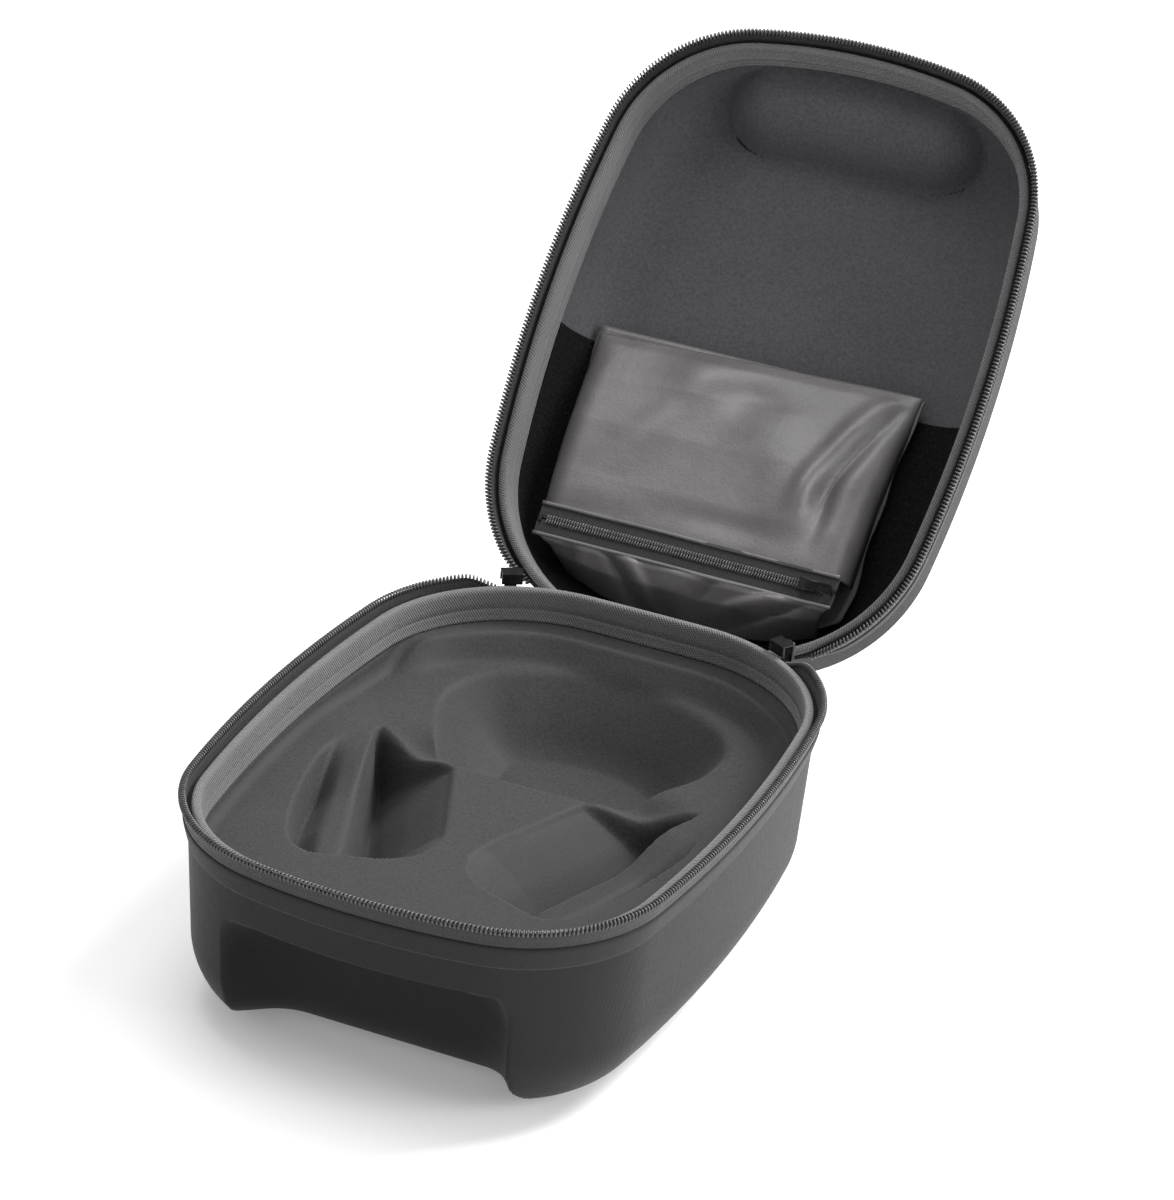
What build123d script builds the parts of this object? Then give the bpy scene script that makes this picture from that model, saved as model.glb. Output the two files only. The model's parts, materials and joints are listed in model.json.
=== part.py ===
"""Moulded hard-shell travel case for over-ear headphones, shown unzipped and open.

Two laminated foam shells meet at a horizontal plane and are joined by a zipper
round three sides and a sewn fabric hinge at the back. The base holds a formed
tray, the lid a pull-off pouch on hook-and-loop. Millimetres, +Z up, the origin
on the table under the middle of the zipper outline, the front towards -Y.
"""

from build123d import *
from math import cos, degrees, radians, sin, sqrt, tan
import os

os.makedirs("parts", exist_ok=True)

# ---- overall sizes ---------------------------------------------------------
case_width = 200.0  # over the zipper coils, along X
case_length = 270.0  # over the zipper coils, along Y
base_depth = 87.9  # table to the plane where the two halves meet
lid_depth = 45.0  # meeting plane to the top of the closed case
open_angle = 131.1  # how far the lid is swung back from closed

# ---- plan outline of the rim -----------------------------------------------
side_bow = 13.2  # how far the long sides bulge past their corner points
side_taper = 1.8  # the front is this much wider each side than the back
front_bow = 16.3
back_bow = 1.1
front_corner_radius = 62.0
back_corner_radius = 72.0

# ---- shells ----------------------------------------------------------------
wall = 4.0  # fabric, foam and lining pressed together
draft = 3.0  # degrees
shell_inset = 3.0  # shell face in from the coil, at the meeting plane
shell_setback = 6.0  # shell edge down from the meeting plane
base_edge_radius = 30.0
lid_edge_radius = 28.0

# ---- finger grips pressed into the front of both halves ---------------------
grip_reach = 33.0  # in from the front of the rim
grip_half_width = 56.0
grip_corner_radius = 24.0
grip_top_radius = 18.0
base_grip_start = 31.4  # from the meeting plane
grip_below_binding = 0.4  # the lid's grip starts just past its binding

# ---- hinge -----------------------------------------------------------------
hinge_inset = 4.9  # hinge line in from the back of the rim
hinge_drop = 11.9  # hinge line below the meeting plane
hinge_half_width = 45.0
hinge_fabric = 1.0
hinge_clearance = 0.6
hinge_sewn = 14.0  # length sewn to each shell

# ---- zipper ----------------------------------------------------------------
seam_gap = 0.6  # each coil row from the meeting plane
coil_width = 2.6
coil_height = 2.1
tape_thickness = 1.1
tape_inset = 1.8
tape_end = 16.0  # sewn edge, from the meeting plane
zipper_half_gap = 60.0  # the rows stop this far each side of the middle, at the back
slider_length = 9.0
slider_plate = 1.2
slider_web = 0.6
slider_depth = 4.4
slider_clearance = 0.3
pull_width = 5.0
pull_length = 21.0
pull_thickness = 1.5

# ---- binding round the cut edges --------------------------------------------
binding_thickness = 1.0
binding_end = 18.0
binding_clearance = 0.1
lid_grip_start = binding_end + wall + grip_below_binding

# ---- tray ------------------------------------------------------------------
tray_sheet = 5.0
tray_clearance = 0.3
tray_top = 24.0  # top face, from the meeting plane
tray_fillet = 5.0
bowl_floor = 55.0
cup_floor = 58.0
pocket_corner = 5.0
drawn_width = 200.0  # the rim that the pocket and pouch outlines are drawn for
drawn_length = 270.0

# ---- pouch on the lid floor --------------------------------------------------
loop_thickness = 1.2
loop_clearance = 0.2
loop_front = 7.0  # the loop lining runs from here to the hinge
hook_thickness = 2.4
pouch_sheet = 1.2
pouch_puff = 16.0  # front of the pouch, from the meeting plane
pouch_zip_y = case_length / 2 - 44.0
pouch_zip_half = 6.2  # half the height of the zipper window
pouch_tape = 0.8
pouch_coil = 1.15
pouch_coil_height = 1.2
pouch_slider_size = (8.0, 6.4, 1.5)
pouch_pull_size = (12.0, 4.2, 0.9)

base_plane = Plane.XY.offset(base_depth)
hinge_y = case_length / 2 - hinge_inset
hinge_z = base_depth - hinge_drop


def opened(y, z):
    """Where a point of the closed lid lies when the lid is open."""
    swing = radians(open_angle)
    dy = y - hinge_y
    dz = z - hinge_z
    return hinge_y + dy * cos(swing) + dz * sin(swing), hinge_z - dy * sin(swing) + dz * cos(swing)


lid_origin = opened(0, base_depth)
lid_plane = Plane(
    origin=(0, lid_origin[0], lid_origin[1]),
    x_dir=(1, 0, 0),
    z_dir=(0, sin(radians(open_angle)), cos(radians(open_angle))),
)

# Each half is built from its meeting plane: the base goes down, the lid goes up.
base_half = (base_plane, -1)
lid_half = (lid_plane, 1)


def rim_arcs():
    """The four bowed sides of the rim, before its corners are rounded."""
    front_y = -case_length / 2 + front_bow
    back_y = case_length / 2 - back_bow
    front_x = case_width / 2 - side_bow + side_taper
    back_x = case_width / 2 - side_bow - side_taper
    return [
        ThreePointArc((-front_x, front_y), (0, -case_length / 2), (front_x, front_y)),
        ThreePointArc((front_x, front_y), (case_width / 2, 0), (back_x, back_y)),
        ThreePointArc((back_x, back_y), (0, case_length / 2), (-back_x, back_y)),
        ThreePointArc((-back_x, back_y), (-case_width / 2, 0), (-front_x, front_y)),
    ]


sides = rim_arcs()


def outline(inset):
    """Plan of the rim, moved in from the outside of the coil."""
    with BuildSketch() as plan:
        Rectangle(2 * case_width, 2 * case_length)
        for side in sides:
            with Locations(side.arc_center):
                Circle(side.radius - inset, mode=Mode.INTERSECT)
        fillet(plan.vertices().group_by(Axis.Y)[0], radius=front_corner_radius - inset)
        fillet(plan.vertices().group_by(Axis.Y)[-1], radius=back_corner_radius - inset)
    return plan.sketch


def back_corner_centre():
    """Centre of the right back corner's arc."""
    arcs = outline(0).edges().filter_by(lambda e: abs(e.radius - back_corner_radius) < 0.01)
    return arcs.sort_by(Axis.X)[-1].arc_center


corner = back_corner_centre()


def drafted(half, inset, start, end, edge_radius=0.0):
    """Solid inside the drafted wall, between two distances from the meeting plane."""
    plane, away = half
    with BuildPart() as body:
        for distance in (start, end):
            with BuildSketch(plane.offset(away * distance)):
                add(outline(inset + distance * tan(radians(draft))))
        loft(ruled=True)
        if edge_radius:
            far = Axis(plane.origin, plane.z_dir * away)
            fillet(body.edges().group_by(far)[-1], radius=edge_radius)
    return body.part


def block(half, low, high, start, end):
    """Box between two plan corners and two distances from the meeting plane."""
    plane, away = half
    with BuildPart() as body:
        with BuildSketch(plane.offset(away * start)):
            with Locations(((low[0] + high[0]) / 2, (low[1] + high[1]) / 2)):
                Rectangle(high[0] - low[0], high[1] - low[1])
        extrude(amount=away * (end - start))
    return body.part


def grip(half, start, grow, end):
    """The rounded tool that presses a finger grip into the front wall."""
    plane, away = half
    wall_y = -case_length / 2 + grip_reach + grow
    low = (-grip_half_width - grow, -case_length / 2 - grip_reach)
    high = (grip_half_width + grow, wall_y)
    with BuildPart() as tool:
        add(block(half, low, high, start - grow, end))
        upright = tool.edges().filter_by(Axis(plane.origin, plane.z_dir))
        fillet(upright.group_by(Axis(plane.origin, plane.y_dir))[-1], radius=grip_corner_radius)
        top = tool.faces().sort_by(Axis(plane.origin, plane.z_dir * away))[0]
        edges = top.edges().sort_by(Axis(plane.origin, plane.y_dir))[1:]
        fillet(edges, radius=grip_top_radius)
    return tool.part


def shell(half, depth, edge_radius, grip_start):
    """One moulded half: drafted walls, rounded closed end, finger grip."""
    with BuildPart() as cavity:
        add(drafted(half, shell_inset + wall, shell_setback, depth - wall, edge_radius - wall))
        add(grip(half, grip_start, wall, 2 * depth), mode=Mode.SUBTRACT)
    with BuildPart() as body:
        add(drafted(half, shell_inset, shell_setback, depth, edge_radius))
        add(grip(half, grip_start, 0, 2 * depth), mode=Mode.SUBTRACT)
        add(cavity.part, mode=Mode.SUBTRACT)
    return body.part


def binding(half):
    """Woven tape over the shell's cut edge and down its inside."""
    edge = shell_setback - binding_clearance
    cap = edge - binding_thickness
    liner = shell_inset + wall + binding_clearance
    inner = liner + binding_thickness
    with BuildPart() as body:
        add(drafted(half, shell_inset, cap, edge))
        add(drafted(half, liner, cap, binding_end))
        add(drafted(half, inner, cap - 1, binding_end + 1), mode=Mode.SUBTRACT)
    return body.part


def zipper_row(half, outer, inner, start, end):
    """A band of the zipper, broken at the back where the hinge is sewn."""
    gap_low = (-zipper_half_gap, 0)
    gap_high = (zipper_half_gap, case_length)
    with BuildPart() as body:
        add(drafted(half, outer, start, end))
        add(drafted(half, inner, start - 1, end + 1), mode=Mode.SUBTRACT)
        add(block(half, gap_low, gap_high, start - 1, end + 1), mode=Mode.SUBTRACT)
    return body.part


def zipper_tape(half):
    return zipper_row(half, tape_inset, tape_inset + tape_thickness, seam_gap + coil_height, tape_end)


def zipper_coil(half):
    return zipper_row(half, 0, coil_width, seam_gap, seam_gap + coil_height)


def save(piece, name):
    piece.part.label = name
    export_step(piece.part, f"parts/{name}.step")


# ---- base --------------------------------------------------------------------
with BuildPart() as base_shell:
    add(shell(base_half, base_depth, base_edge_radius, base_grip_start))
save(base_shell, "base_shell")

with BuildPart() as base_binding:
    add(binding(base_half))
save(base_binding, "base_binding")

with BuildPart() as base_zipper_tape:
    add(zipper_tape(base_half))
save(base_zipper_tape, "base_zipper_tape")

with BuildPart() as base_zipper_coil:
    add(zipper_coil(base_half))
save(base_zipper_coil, "base_zipper_coil")


# ---- tray --------------------------------------------------------------------
def fitted(points):
    """Plan points, moved with the rim's width and length."""
    return [(x * case_width / drawn_width, y * case_length / drawn_length) for x, y in points]


bowl_rim = [(-24, 13), (24, 13), (40, 22), (54, 46), (58, 72), (46, 96), (20, 110)]
bowl_rim += [(-20, 110), (-46, 96), (-58, 72), (-54, 46), (-40, 22)]
bowl_base = [(0.72 * x, 62 + 0.66 * (y - 62)) for x, y in bowl_rim]
cup_rim = [(25, 7), (7, -56), (12, -70), (44, -75), (68, -52), (80, -8), (77, 19), (63, 23)]
cup_base = [(50, 8), (38, -42), (42, -54), (52, -58), (64, -46), (73, -8), (71, 8), (61, 13)]
bowl_rim = fitted(bowl_rim)
bowl_base = fitted(bowl_base)
cup_rim = fitted(cup_rim)
cup_base = fitted(cup_base)


def pocket(rim, base, floor, grow):
    """A tapered pocket below the tray's top, or its sheet's outside when grown."""
    with BuildPart() as body:
        for points, depth in ((rim, tray_top), (base, floor + grow)):
            with BuildSketch(base_plane.offset(-depth)) as level:
                with BuildLine():
                    Polyline(*points, close=True)
                make_face()
                fillet(level.vertices(), radius=pocket_corner)
                if grow:
                    offset(amount=grow, kind=Kind.ARC)
        loft(ruled=True)
    return body.part


def mirrored(points):
    return [(-x, y) for x, y in reversed(points)]


pockets = [
    (bowl_rim, bowl_base, bowl_floor),
    (cup_rim, cup_base, cup_floor),
    (mirrored(cup_rim), mirrored(cup_base), cup_floor),
]
tray_inset = shell_inset + wall + tray_clearance
tray_start = binding_end + tray_clearance

with BuildPart() as headphone_tray:
    add(drafted(base_half, tray_inset, tray_start, tray_top + tray_sheet))
    add(drafted(base_half, tray_inset + tray_sheet, tray_start, tray_top, tray_fillet), mode=Mode.SUBTRACT)
    for rim, base, floor in pockets:
        add(pocket(rim, base, floor, tray_sheet))
    add(grip(base_half, base_grip_start, wall + tray_clearance, 2 * base_depth), mode=Mode.SUBTRACT)
    for rim, base, floor in pockets:
        add(pocket(rim, base, floor, 0), mode=Mode.SUBTRACT)
save(headphone_tray, "headphone_tray")


# ---- lid ---------------------------------------------------------------------
with BuildPart() as lid_shell:
    add(shell(lid_half, lid_depth, lid_edge_radius, lid_grip_start))
save(lid_shell, "lid_shell")

with BuildPart() as lid_binding:
    add(binding(lid_half))
save(lid_binding, "lid_binding")

with BuildPart() as lid_zipper_tape:
    add(zipper_tape(lid_half))
save(lid_zipper_tape, "lid_zipper_tape")

with BuildPart() as lid_zipper_coil:
    add(zipper_coil(lid_half))
save(lid_zipper_coil, "lid_zipper_coil")

lid_floor = lid_depth - wall
loop_start = binding_end + 1
loop_face = lid_floor - loop_clearance - loop_thickness


def lid_space(thickness, start):
    """Space inside the lid, at a distance from its lining."""
    radius = lid_edge_radius - wall - thickness
    return drafted(lid_half, shell_inset + wall + thickness, start, lid_floor - thickness, radius)


with BuildPart() as lid_loop_panel:
    add(lid_space(loop_clearance, shell_setback))
    add(lid_space(loop_clearance + loop_thickness, shell_setback - 1), mode=Mode.SUBTRACT)
    far = (case_width, case_length)
    add(block(lid_half, (-far[0], -far[1]), far, 0, loop_start), mode=Mode.SUBTRACT)
    add(block(lid_half, (-far[0], -far[1]), (far[0], loop_front), 0, lid_depth), mode=Mode.SUBTRACT)
save(lid_loop_panel, "lid_loop_panel")


# ---- hinge ---------------------------------------------------------------------
def back_wall_y(x, depth):
    """Outer face of either shell at the back, at a distance from the meeting plane."""
    inset = shell_inset + depth * tan(radians(draft))
    if abs(x) <= corner.X:
        return case_length / 2 - inset
    return corner.Y + sqrt((back_corner_radius - inset) ** 2 - (abs(x) - corner.X) ** 2)


def hinge_section(x):
    """Centre line of the hinge fabric where it crosses one plane, from base to lid."""
    off = hinge_clearance + hinge_fabric / 2
    bend = hinge_drop
    low = bend + hinge_sewn
    base_low = (back_wall_y(x, low) + off, base_depth - low)
    base_top = (back_wall_y(x, bend) + off, base_depth - bend)
    lid_edge = opened(back_wall_y(x, shell_setback) + off + 2.2, base_depth + shell_setback)
    lid_mid = opened(back_wall_y(x, shell_setback + 7) + off + 0.3, base_depth + shell_setback + 7)
    lid_far = opened(back_wall_y(x, hinge_sewn + 6) + off, base_depth + hinge_sewn + 6)
    fold = ((base_top[0] + lid_edge[0]) / 2, (base_top[1] + lid_edge[1]) / 2 + 7)
    return [base_low, base_top, fold, lid_edge, lid_mid, lid_far]


with BuildPart() as hinge_strip:
    stations = 6
    for i in range(stations + 1):
        x = hinge_half_width * (2 * i / stations - 1)
        with BuildSketch(Plane.YZ.offset(x)):
            with BuildLine() as centre:
                Polyline(*hinge_section(x))
            trace(centre.line, line_width=hinge_fabric)
    loft(ruled=True)
save(hinge_strip, "hinge_strip")


# ---- zipper sliders, parked at the hinge ends of the base row -------------------
parked = back_corner_radius - coil_width / 2
park_angle = 90 - 2.2 - Vector(zipper_half_gap - corner.X, parked).get_angle(Vector(0, 1))


def slider_ring(outer, inner, start, end):
    """Piece of a ring round the right back corner, as long as a slider."""
    span = degrees(slider_length / back_corner_radius)
    with BuildPart() as body:
        with BuildSketch(Plane((corner.X, corner.Y, base_depth - start), x_dir=(1, 0, 0), z_dir=(0, 0, 1))):
            Circle(back_corner_radius - outer)
            Circle(back_corner_radius - inner, mode=Mode.SUBTRACT)
            with BuildLine():
                reach = back_corner_radius * 1.4
                one = PolarLine((0, 0), reach, park_angle - span / 2)
                two = PolarLine((0, 0), reach, park_angle + span / 2)
                Line(one @ 1, two @ 1)
            make_face(mode=Mode.INTERSECT)
        extrude(amount=start - end)
    return body.part


plate_outer = -slider_clearance - slider_plate
plate_inner = tape_inset + tape_thickness + slider_clearance + slider_plate + 0.2
half_web = slider_web / 2

with BuildPart() as zipper_slider_right:
    add(slider_ring(plate_outer, -slider_clearance, -half_web, slider_depth))
    add(slider_ring(plate_inner - slider_plate, plate_inner, -half_web, slider_depth))
    add(slider_ring(plate_outer, plate_inner, -half_web, half_web))
save(zipper_slider_right, "zipper_slider_right")

pull_out = back_corner_radius - plate_outer + slider_clearance
pull_plane = Plane(
    origin=(corner.X, corner.Y, base_depth - 0.5),
    x_dir=(cos(radians(park_angle)), sin(radians(park_angle)), 0),
    z_dir=(sin(radians(park_angle)), -cos(radians(park_angle)), 0),
)
with BuildPart() as zipper_pull_right:
    with BuildSketch(pull_plane.offset(-pull_width / 2)):
        with Locations((pull_out + pull_thickness / 2, -pull_length / 2)):
            Rectangle(pull_thickness, pull_length)
    extrude(amount=pull_width)
    fillet(zipper_pull_right.edges().filter_by(Axis(pull_plane.origin, pull_plane.x_dir)), radius=1.2)
save(zipper_pull_right, "zipper_pull_right")

with BuildPart() as zipper_slider_left:
    mirror(zipper_slider_right.part, about=Plane.YZ)
save(zipper_slider_left, "zipper_slider_left")

with BuildPart() as zipper_pull_left:
    mirror(zipper_pull_right.part, about=Plane.YZ)
save(zipper_pull_left, "zipper_pull_left")


# ---- pouch ---------------------------------------------------------------------
pouch_outline = [(-76, 3), (62, 1), (62, 58), (58, 82), (50, 97), (34, 108)]
pouch_outline += [(-34, 108), (-52, 97), (-61, 82), (-74, 52)]
pouch_outline = fitted(pouch_outline)
pouch_top = 0.0
pouch_end = case_length / 2 - 27.0
zip_upper = pouch_zip_y - pouch_zip_half
zip_lower = pouch_zip_y + pouch_zip_half
hook_face = loop_face - hook_thickness
pouch_back = hook_face - pouch_sheet
far_x = case_width


def pouch_prism(start, end, inset=0.0):
    with BuildPart() as body:
        with BuildSketch(lid_plane.offset(start)) as plan:
            with BuildLine():
                Polyline(*pouch_outline, close=True)
            make_face()
            fillet(plan.vertices(), radius=4)
            if inset:
                offset(amount=-inset)
        extrude(amount=end - start)
    return body.part


with BuildPart() as pouch_hook_patch:
    add(block(lid_half, (-46, 16), (34, pouch_zip_y - 11), hook_face, loop_face - 0.1))
save(pouch_hook_patch, "pouch_hook_patch")

with BuildPart() as pouch_back_panel:
    add(pouch_prism(pouch_back, hook_face))
save(pouch_back_panel, "pouch_back_panel")

side = Plane(origin=lid_plane.origin, x_dir=lid_plane.y_dir, z_dir=lid_plane.x_dir)

def pouch_panel(crown, inset):
    """Solid under a crowned panel, or its hollow when inset."""
    start, middle, end = crown
    with BuildPart() as body:
        with BuildSketch(side.offset(-far_x)):
            with BuildLine():
                ThreePointArc(start, middle, end)
                Polyline(end, (end[0], pouch_back), (start[0], pouch_back), start)
            make_face()
        extrude(amount=2 * far_x)
        add(pouch_prism(0, pouch_back, inset), mode=Mode.INTERSECT)
    return body.part


def hollow_panel(crown, inner):
    with BuildPart() as body:
        add(pouch_panel(crown, 0))
        add(pouch_panel(inner, pouch_sheet), mode=Mode.SUBTRACT)
    return body.part


upper_middle = 0.42 * pouch_zip_y
upper_crown = (
    (pouch_top, pouch_back - 2.5),
    (upper_middle, pouch_puff + 3.5),
    (zip_upper, pouch_puff),
)
upper_inner = (
    (pouch_top, pouch_back - 2.5 + pouch_sheet),
    (upper_middle, pouch_puff + 3.5 + pouch_sheet),
    (zip_upper - pouch_sheet, pouch_puff + pouch_sheet),
)
lower_crown = (
    (zip_lower, pouch_puff),
    (zip_lower + 5, pouch_puff + 3),
    (pouch_end, pouch_back - 4),
)
lower_inner = (
    (zip_lower + pouch_sheet, pouch_puff + pouch_sheet + 0.5),
    (zip_lower + 5, pouch_puff + 3 + pouch_sheet + 0.6),
    (pouch_end, pouch_back - 4 + pouch_sheet),
)

with BuildPart() as pouch_front_panel:
    add(hollow_panel(upper_crown, upper_inner))
save(pouch_front_panel, "pouch_front_panel")

with BuildPart() as pouch_lower_panel:
    add(hollow_panel(lower_crown, lower_inner))
save(pouch_lower_panel, "pouch_lower_panel")

zip_left = -0.31 * case_width
zip_right = 0.275 * case_width
tape_front = pouch_puff + 0.2
tape_back = tape_front + pouch_tape
coil_front = tape_front - pouch_coil_height

with BuildPart() as pouch_zipper_tape_upper:
    add(block(lid_half, (zip_left, zip_upper + 0.2), (zip_right, pouch_zip_y - 0.3), tape_front, tape_back))
save(pouch_zipper_tape_upper, "pouch_zipper_tape_upper")

with BuildPart() as pouch_zipper_tape_lower:
    add(block(lid_half, (zip_left, pouch_zip_y + 0.3), (zip_right, zip_lower - 0.2), tape_front, tape_back))
save(pouch_zipper_tape_lower, "pouch_zipper_tape_lower")

with BuildPart() as pouch_zipper_coil_upper:
    low = (zip_left + 2, pouch_zip_y - 0.05 - pouch_coil)
    add(block(lid_half, low, (zip_right - 2, pouch_zip_y - 0.05), coil_front, tape_front))
save(pouch_zipper_coil_upper, "pouch_zipper_coil_upper")

with BuildPart() as pouch_zipper_coil_lower:
    high = (zip_right - 2, pouch_zip_y + 0.05 + pouch_coil)
    add(block(lid_half, (zip_left + 2, pouch_zip_y + 0.05), high, coil_front, tape_front))
save(pouch_zipper_coil_lower, "pouch_zipper_coil_lower")

slider_back = coil_front - 0.3
slider_front = slider_back - pouch_slider_size[2]
slider_x = zip_right - 2 - pouch_slider_size[0]

with BuildPart() as pouch_zipper_stops:
    for x in (zip_left + 0.4, zip_right - 1.8):
        stop_low = (x, pouch_zip_y - 1.4)
        stop_high = (x + 1.4, pouch_zip_y + 1.4)
        add(block(lid_half, stop_low, stop_high, coil_front, tape_front))
save(pouch_zipper_stops, "pouch_zipper_stops")

with BuildPart() as pouch_zipper_slider:
    low = (slider_x, pouch_zip_y - pouch_slider_size[1] / 2)
    high = (slider_x + pouch_slider_size[0], pouch_zip_y + pouch_slider_size[1] / 2)
    add(block(lid_half, low, high, slider_front, slider_back))
save(pouch_zipper_slider, "pouch_zipper_slider")

pull_back = slider_front - 0.3
with BuildPart() as pouch_zipper_pull:
    low = (slider_x + 3, pouch_zip_y - pouch_pull_size[1] / 2)
    high = (slider_x + 3 + pouch_pull_size[0], pouch_zip_y + pouch_pull_size[1] / 2)
    add(block(lid_half, low, high, pull_back - pouch_pull_size[2], pull_back))
save(pouch_zipper_pull, "pouch_zipper_pull")
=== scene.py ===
import json
import math

import bmesh
import bpy
import numpy as np
from mathutils import Matrix, Vector

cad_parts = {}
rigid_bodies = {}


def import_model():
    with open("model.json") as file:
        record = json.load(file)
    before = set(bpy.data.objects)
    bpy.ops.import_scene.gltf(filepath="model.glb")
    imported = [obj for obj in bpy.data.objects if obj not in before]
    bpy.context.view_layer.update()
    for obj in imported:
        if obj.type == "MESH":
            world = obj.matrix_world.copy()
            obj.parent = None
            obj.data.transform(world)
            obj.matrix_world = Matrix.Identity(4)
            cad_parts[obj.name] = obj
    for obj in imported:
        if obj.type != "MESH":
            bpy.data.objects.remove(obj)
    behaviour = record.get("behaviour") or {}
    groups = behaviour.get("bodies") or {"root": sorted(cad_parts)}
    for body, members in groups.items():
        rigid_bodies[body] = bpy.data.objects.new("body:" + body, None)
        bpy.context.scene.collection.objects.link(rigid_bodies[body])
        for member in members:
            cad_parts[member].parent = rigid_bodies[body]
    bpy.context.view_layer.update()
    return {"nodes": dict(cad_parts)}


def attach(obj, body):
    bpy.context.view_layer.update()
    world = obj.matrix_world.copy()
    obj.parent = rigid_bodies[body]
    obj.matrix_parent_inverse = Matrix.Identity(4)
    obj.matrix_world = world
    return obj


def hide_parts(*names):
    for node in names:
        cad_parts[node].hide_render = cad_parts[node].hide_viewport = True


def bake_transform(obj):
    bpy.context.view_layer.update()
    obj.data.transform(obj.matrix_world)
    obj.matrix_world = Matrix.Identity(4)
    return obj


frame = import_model()

# ---- sizes, in millimetres, as in the part's source ---------------------------
WIDTH, LENGTH = 200.0, 270.0
BASE_DEPTH, LID_DEPTH = 87.9, 45.0
OPEN_ANGLE = math.radians(131.1)
HINGE_Y, HINGE_Z = LENGTH / 2 - 4.9, BASE_DEPTH - 11.9
DRAFT = math.tan(math.radians(3.0))
SHELL_INSET, WALL, SETBACK = 3.0, 4.0, 6.0
BINDING_END = 18.0
TRAY_TOP = 24.0
GRIP_WALL, GRIP_HALF = -102.0, 56.0
BACK_GAP = 60.0
AROUND = 400


# ---- the two halves' own coordinates -------------------------------------------
def opened(y, z):
    """Where a point of the closed lid lies when the lid is open."""
    c, s = math.cos(OPEN_ANGLE), math.sin(OPEN_ANGLE)
    dy, dz = y - HINGE_Y, z - HINGE_Z
    return HINGE_Y + dy * c + dz * s, HINGE_Z - dy * s + dz * c


def to_world(half, points):
    """Points given as x, y and depth from the meeting plane, in metres in the row frame."""
    p = np.asarray(points, float)
    x, y, d = p[..., 0], p[..., 1], p[..., 2]
    if half == "base":
        z = BASE_DEPTH - d
    else:
        y, z = opened(y, BASE_DEPTH + d)
    return np.stack([x, y, z], -1) / 1000


def circle_through(a, b, c):
    """Centre and radius of the circle through three points."""
    ax, ay, bx, by, cx, cy = *a, *b, *c
    d = 2 * (ax * (by - cy) + bx * (cy - ay) + cx * (ay - by))
    sa, sb, sc = ax * ax + ay * ay, bx * bx + by * by, cx * cx + cy * cy
    x = (sa * (by - cy) + sb * (cy - ay) + sc * (ay - by)) / d
    y = (sa * (cx - bx) + sb * (ax - cx) + sc * (bx - ax)) / d
    return np.array([x, y]), math.hypot(ax - x, ay - y)


def fillet_centre(one, two, radius, near):
    """Centre of a fillet inside two circles."""
    (c1, r1), (c2, r2) = one, two
    r1, r2 = r1 - radius, r2 - radius
    d = np.linalg.norm(c2 - c1)
    a = (r1 * r1 - r2 * r2 + d * d) / (2 * d)
    h = math.sqrt(r1 * r1 - a * a)
    e = (c2 - c1) / d
    n = np.array([-e[1], e[0]])
    both = [c1 + a * e + h * n, c1 + a * e - h * n]
    return min(both, key=lambda p: np.linalg.norm(p - np.array(near)))


def rim_line(count):
    """Points round the rim, their inward normals and the length so far."""
    fx, bx = WIDTH / 2 - 13.2 + 1.8, WIDTH / 2 - 13.2 - 1.8
    fy, by = -LENGTH / 2 + 16.3, LENGTH / 2 - 1.1
    front = circle_through((-fx, fy), (0, -LENGTH / 2), (fx, fy))
    right = circle_through((fx, fy), (WIDTH / 2, 0), (bx, by))
    back = circle_through((bx, by), (0, LENGTH / 2), (-bx, by))
    f = fillet_centre(front, right, 62.0, (fx, fy))
    b = fillet_centre(right, back, 72.0, (bx, by))

    def angle(p, c):
        return math.atan2(p[1] - c[1], p[0] - c[0])

    stops = [
        (front, -math.pi / 2, angle(f, front[0])),
        ((f, 62.0), angle(f, front[0]), angle(f, right[0])),
        (right, angle(f, right[0]), angle(b, right[0])),
        ((b, 72.0), angle(b, right[0]), angle(b, back[0])),
        (back, angle(b, back[0]), math.pi / 2),
    ]
    points, normals = [], []
    for (centre, radius), start, end in stops:
        t = np.linspace(start, end, 240)[:, None]
        out = np.concatenate([np.cos(t), np.sin(t)], 1)
        points.append(centre + radius * out)
        normals.append(-out)
    p, n = np.concatenate(points), np.concatenate(normals)
    p = np.concatenate([p, (p * (-1, 1))[::-1]])
    n = np.concatenate([n, (n * (-1, 1))[::-1]])
    step = np.linalg.norm(np.diff(p, axis=0), axis=1)
    keep = np.concatenate([[True], step > 1e-6])
    p, n = p[keep], n[keep]
    so_far = np.concatenate([[0], np.cumsum(np.linalg.norm(np.diff(p, axis=0), axis=1))])
    at = np.linspace(0, so_far[-1], count, endpoint=False)
    q = np.stack([np.interp(at, so_far, p[:, k]) for k in (0, 1)], 1)
    m = np.stack([np.interp(at, so_far, n[:, k]) for k in (0, 1)], 1)
    m /= np.linalg.norm(m, axis=1)[:, None]
    return q, m, at, so_far[-1]


RIM, INWARD, ALONG, RIM_LENGTH = rim_line(AROUND)


def ring(inset, depth):
    """One ring round the rim, moved in and down, with the walls' draft."""
    p = RIM + (inset + depth * DRAFT) * INWARD
    return np.concatenate([p, np.full((len(p), 1), depth)], 1)


def smooth_max(a, b, k):
    h = np.clip(0.5 + 0.5 * (a - b) / k, 0, 1)
    return b + (a - b) * h + k * h * (1 - h)


def smooth_min(a, b, k):
    return -smooth_max(-a, -b, k)


def rise(t):
    t = np.clip(t, 0, 1)
    return t * t * (3 - 2 * t)


def bell(x, y, cx, cy, wx, wy):
    return np.exp(-(((x - cx) / wx) ** 2) - ((y - cy) / wy) ** 2)


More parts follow.
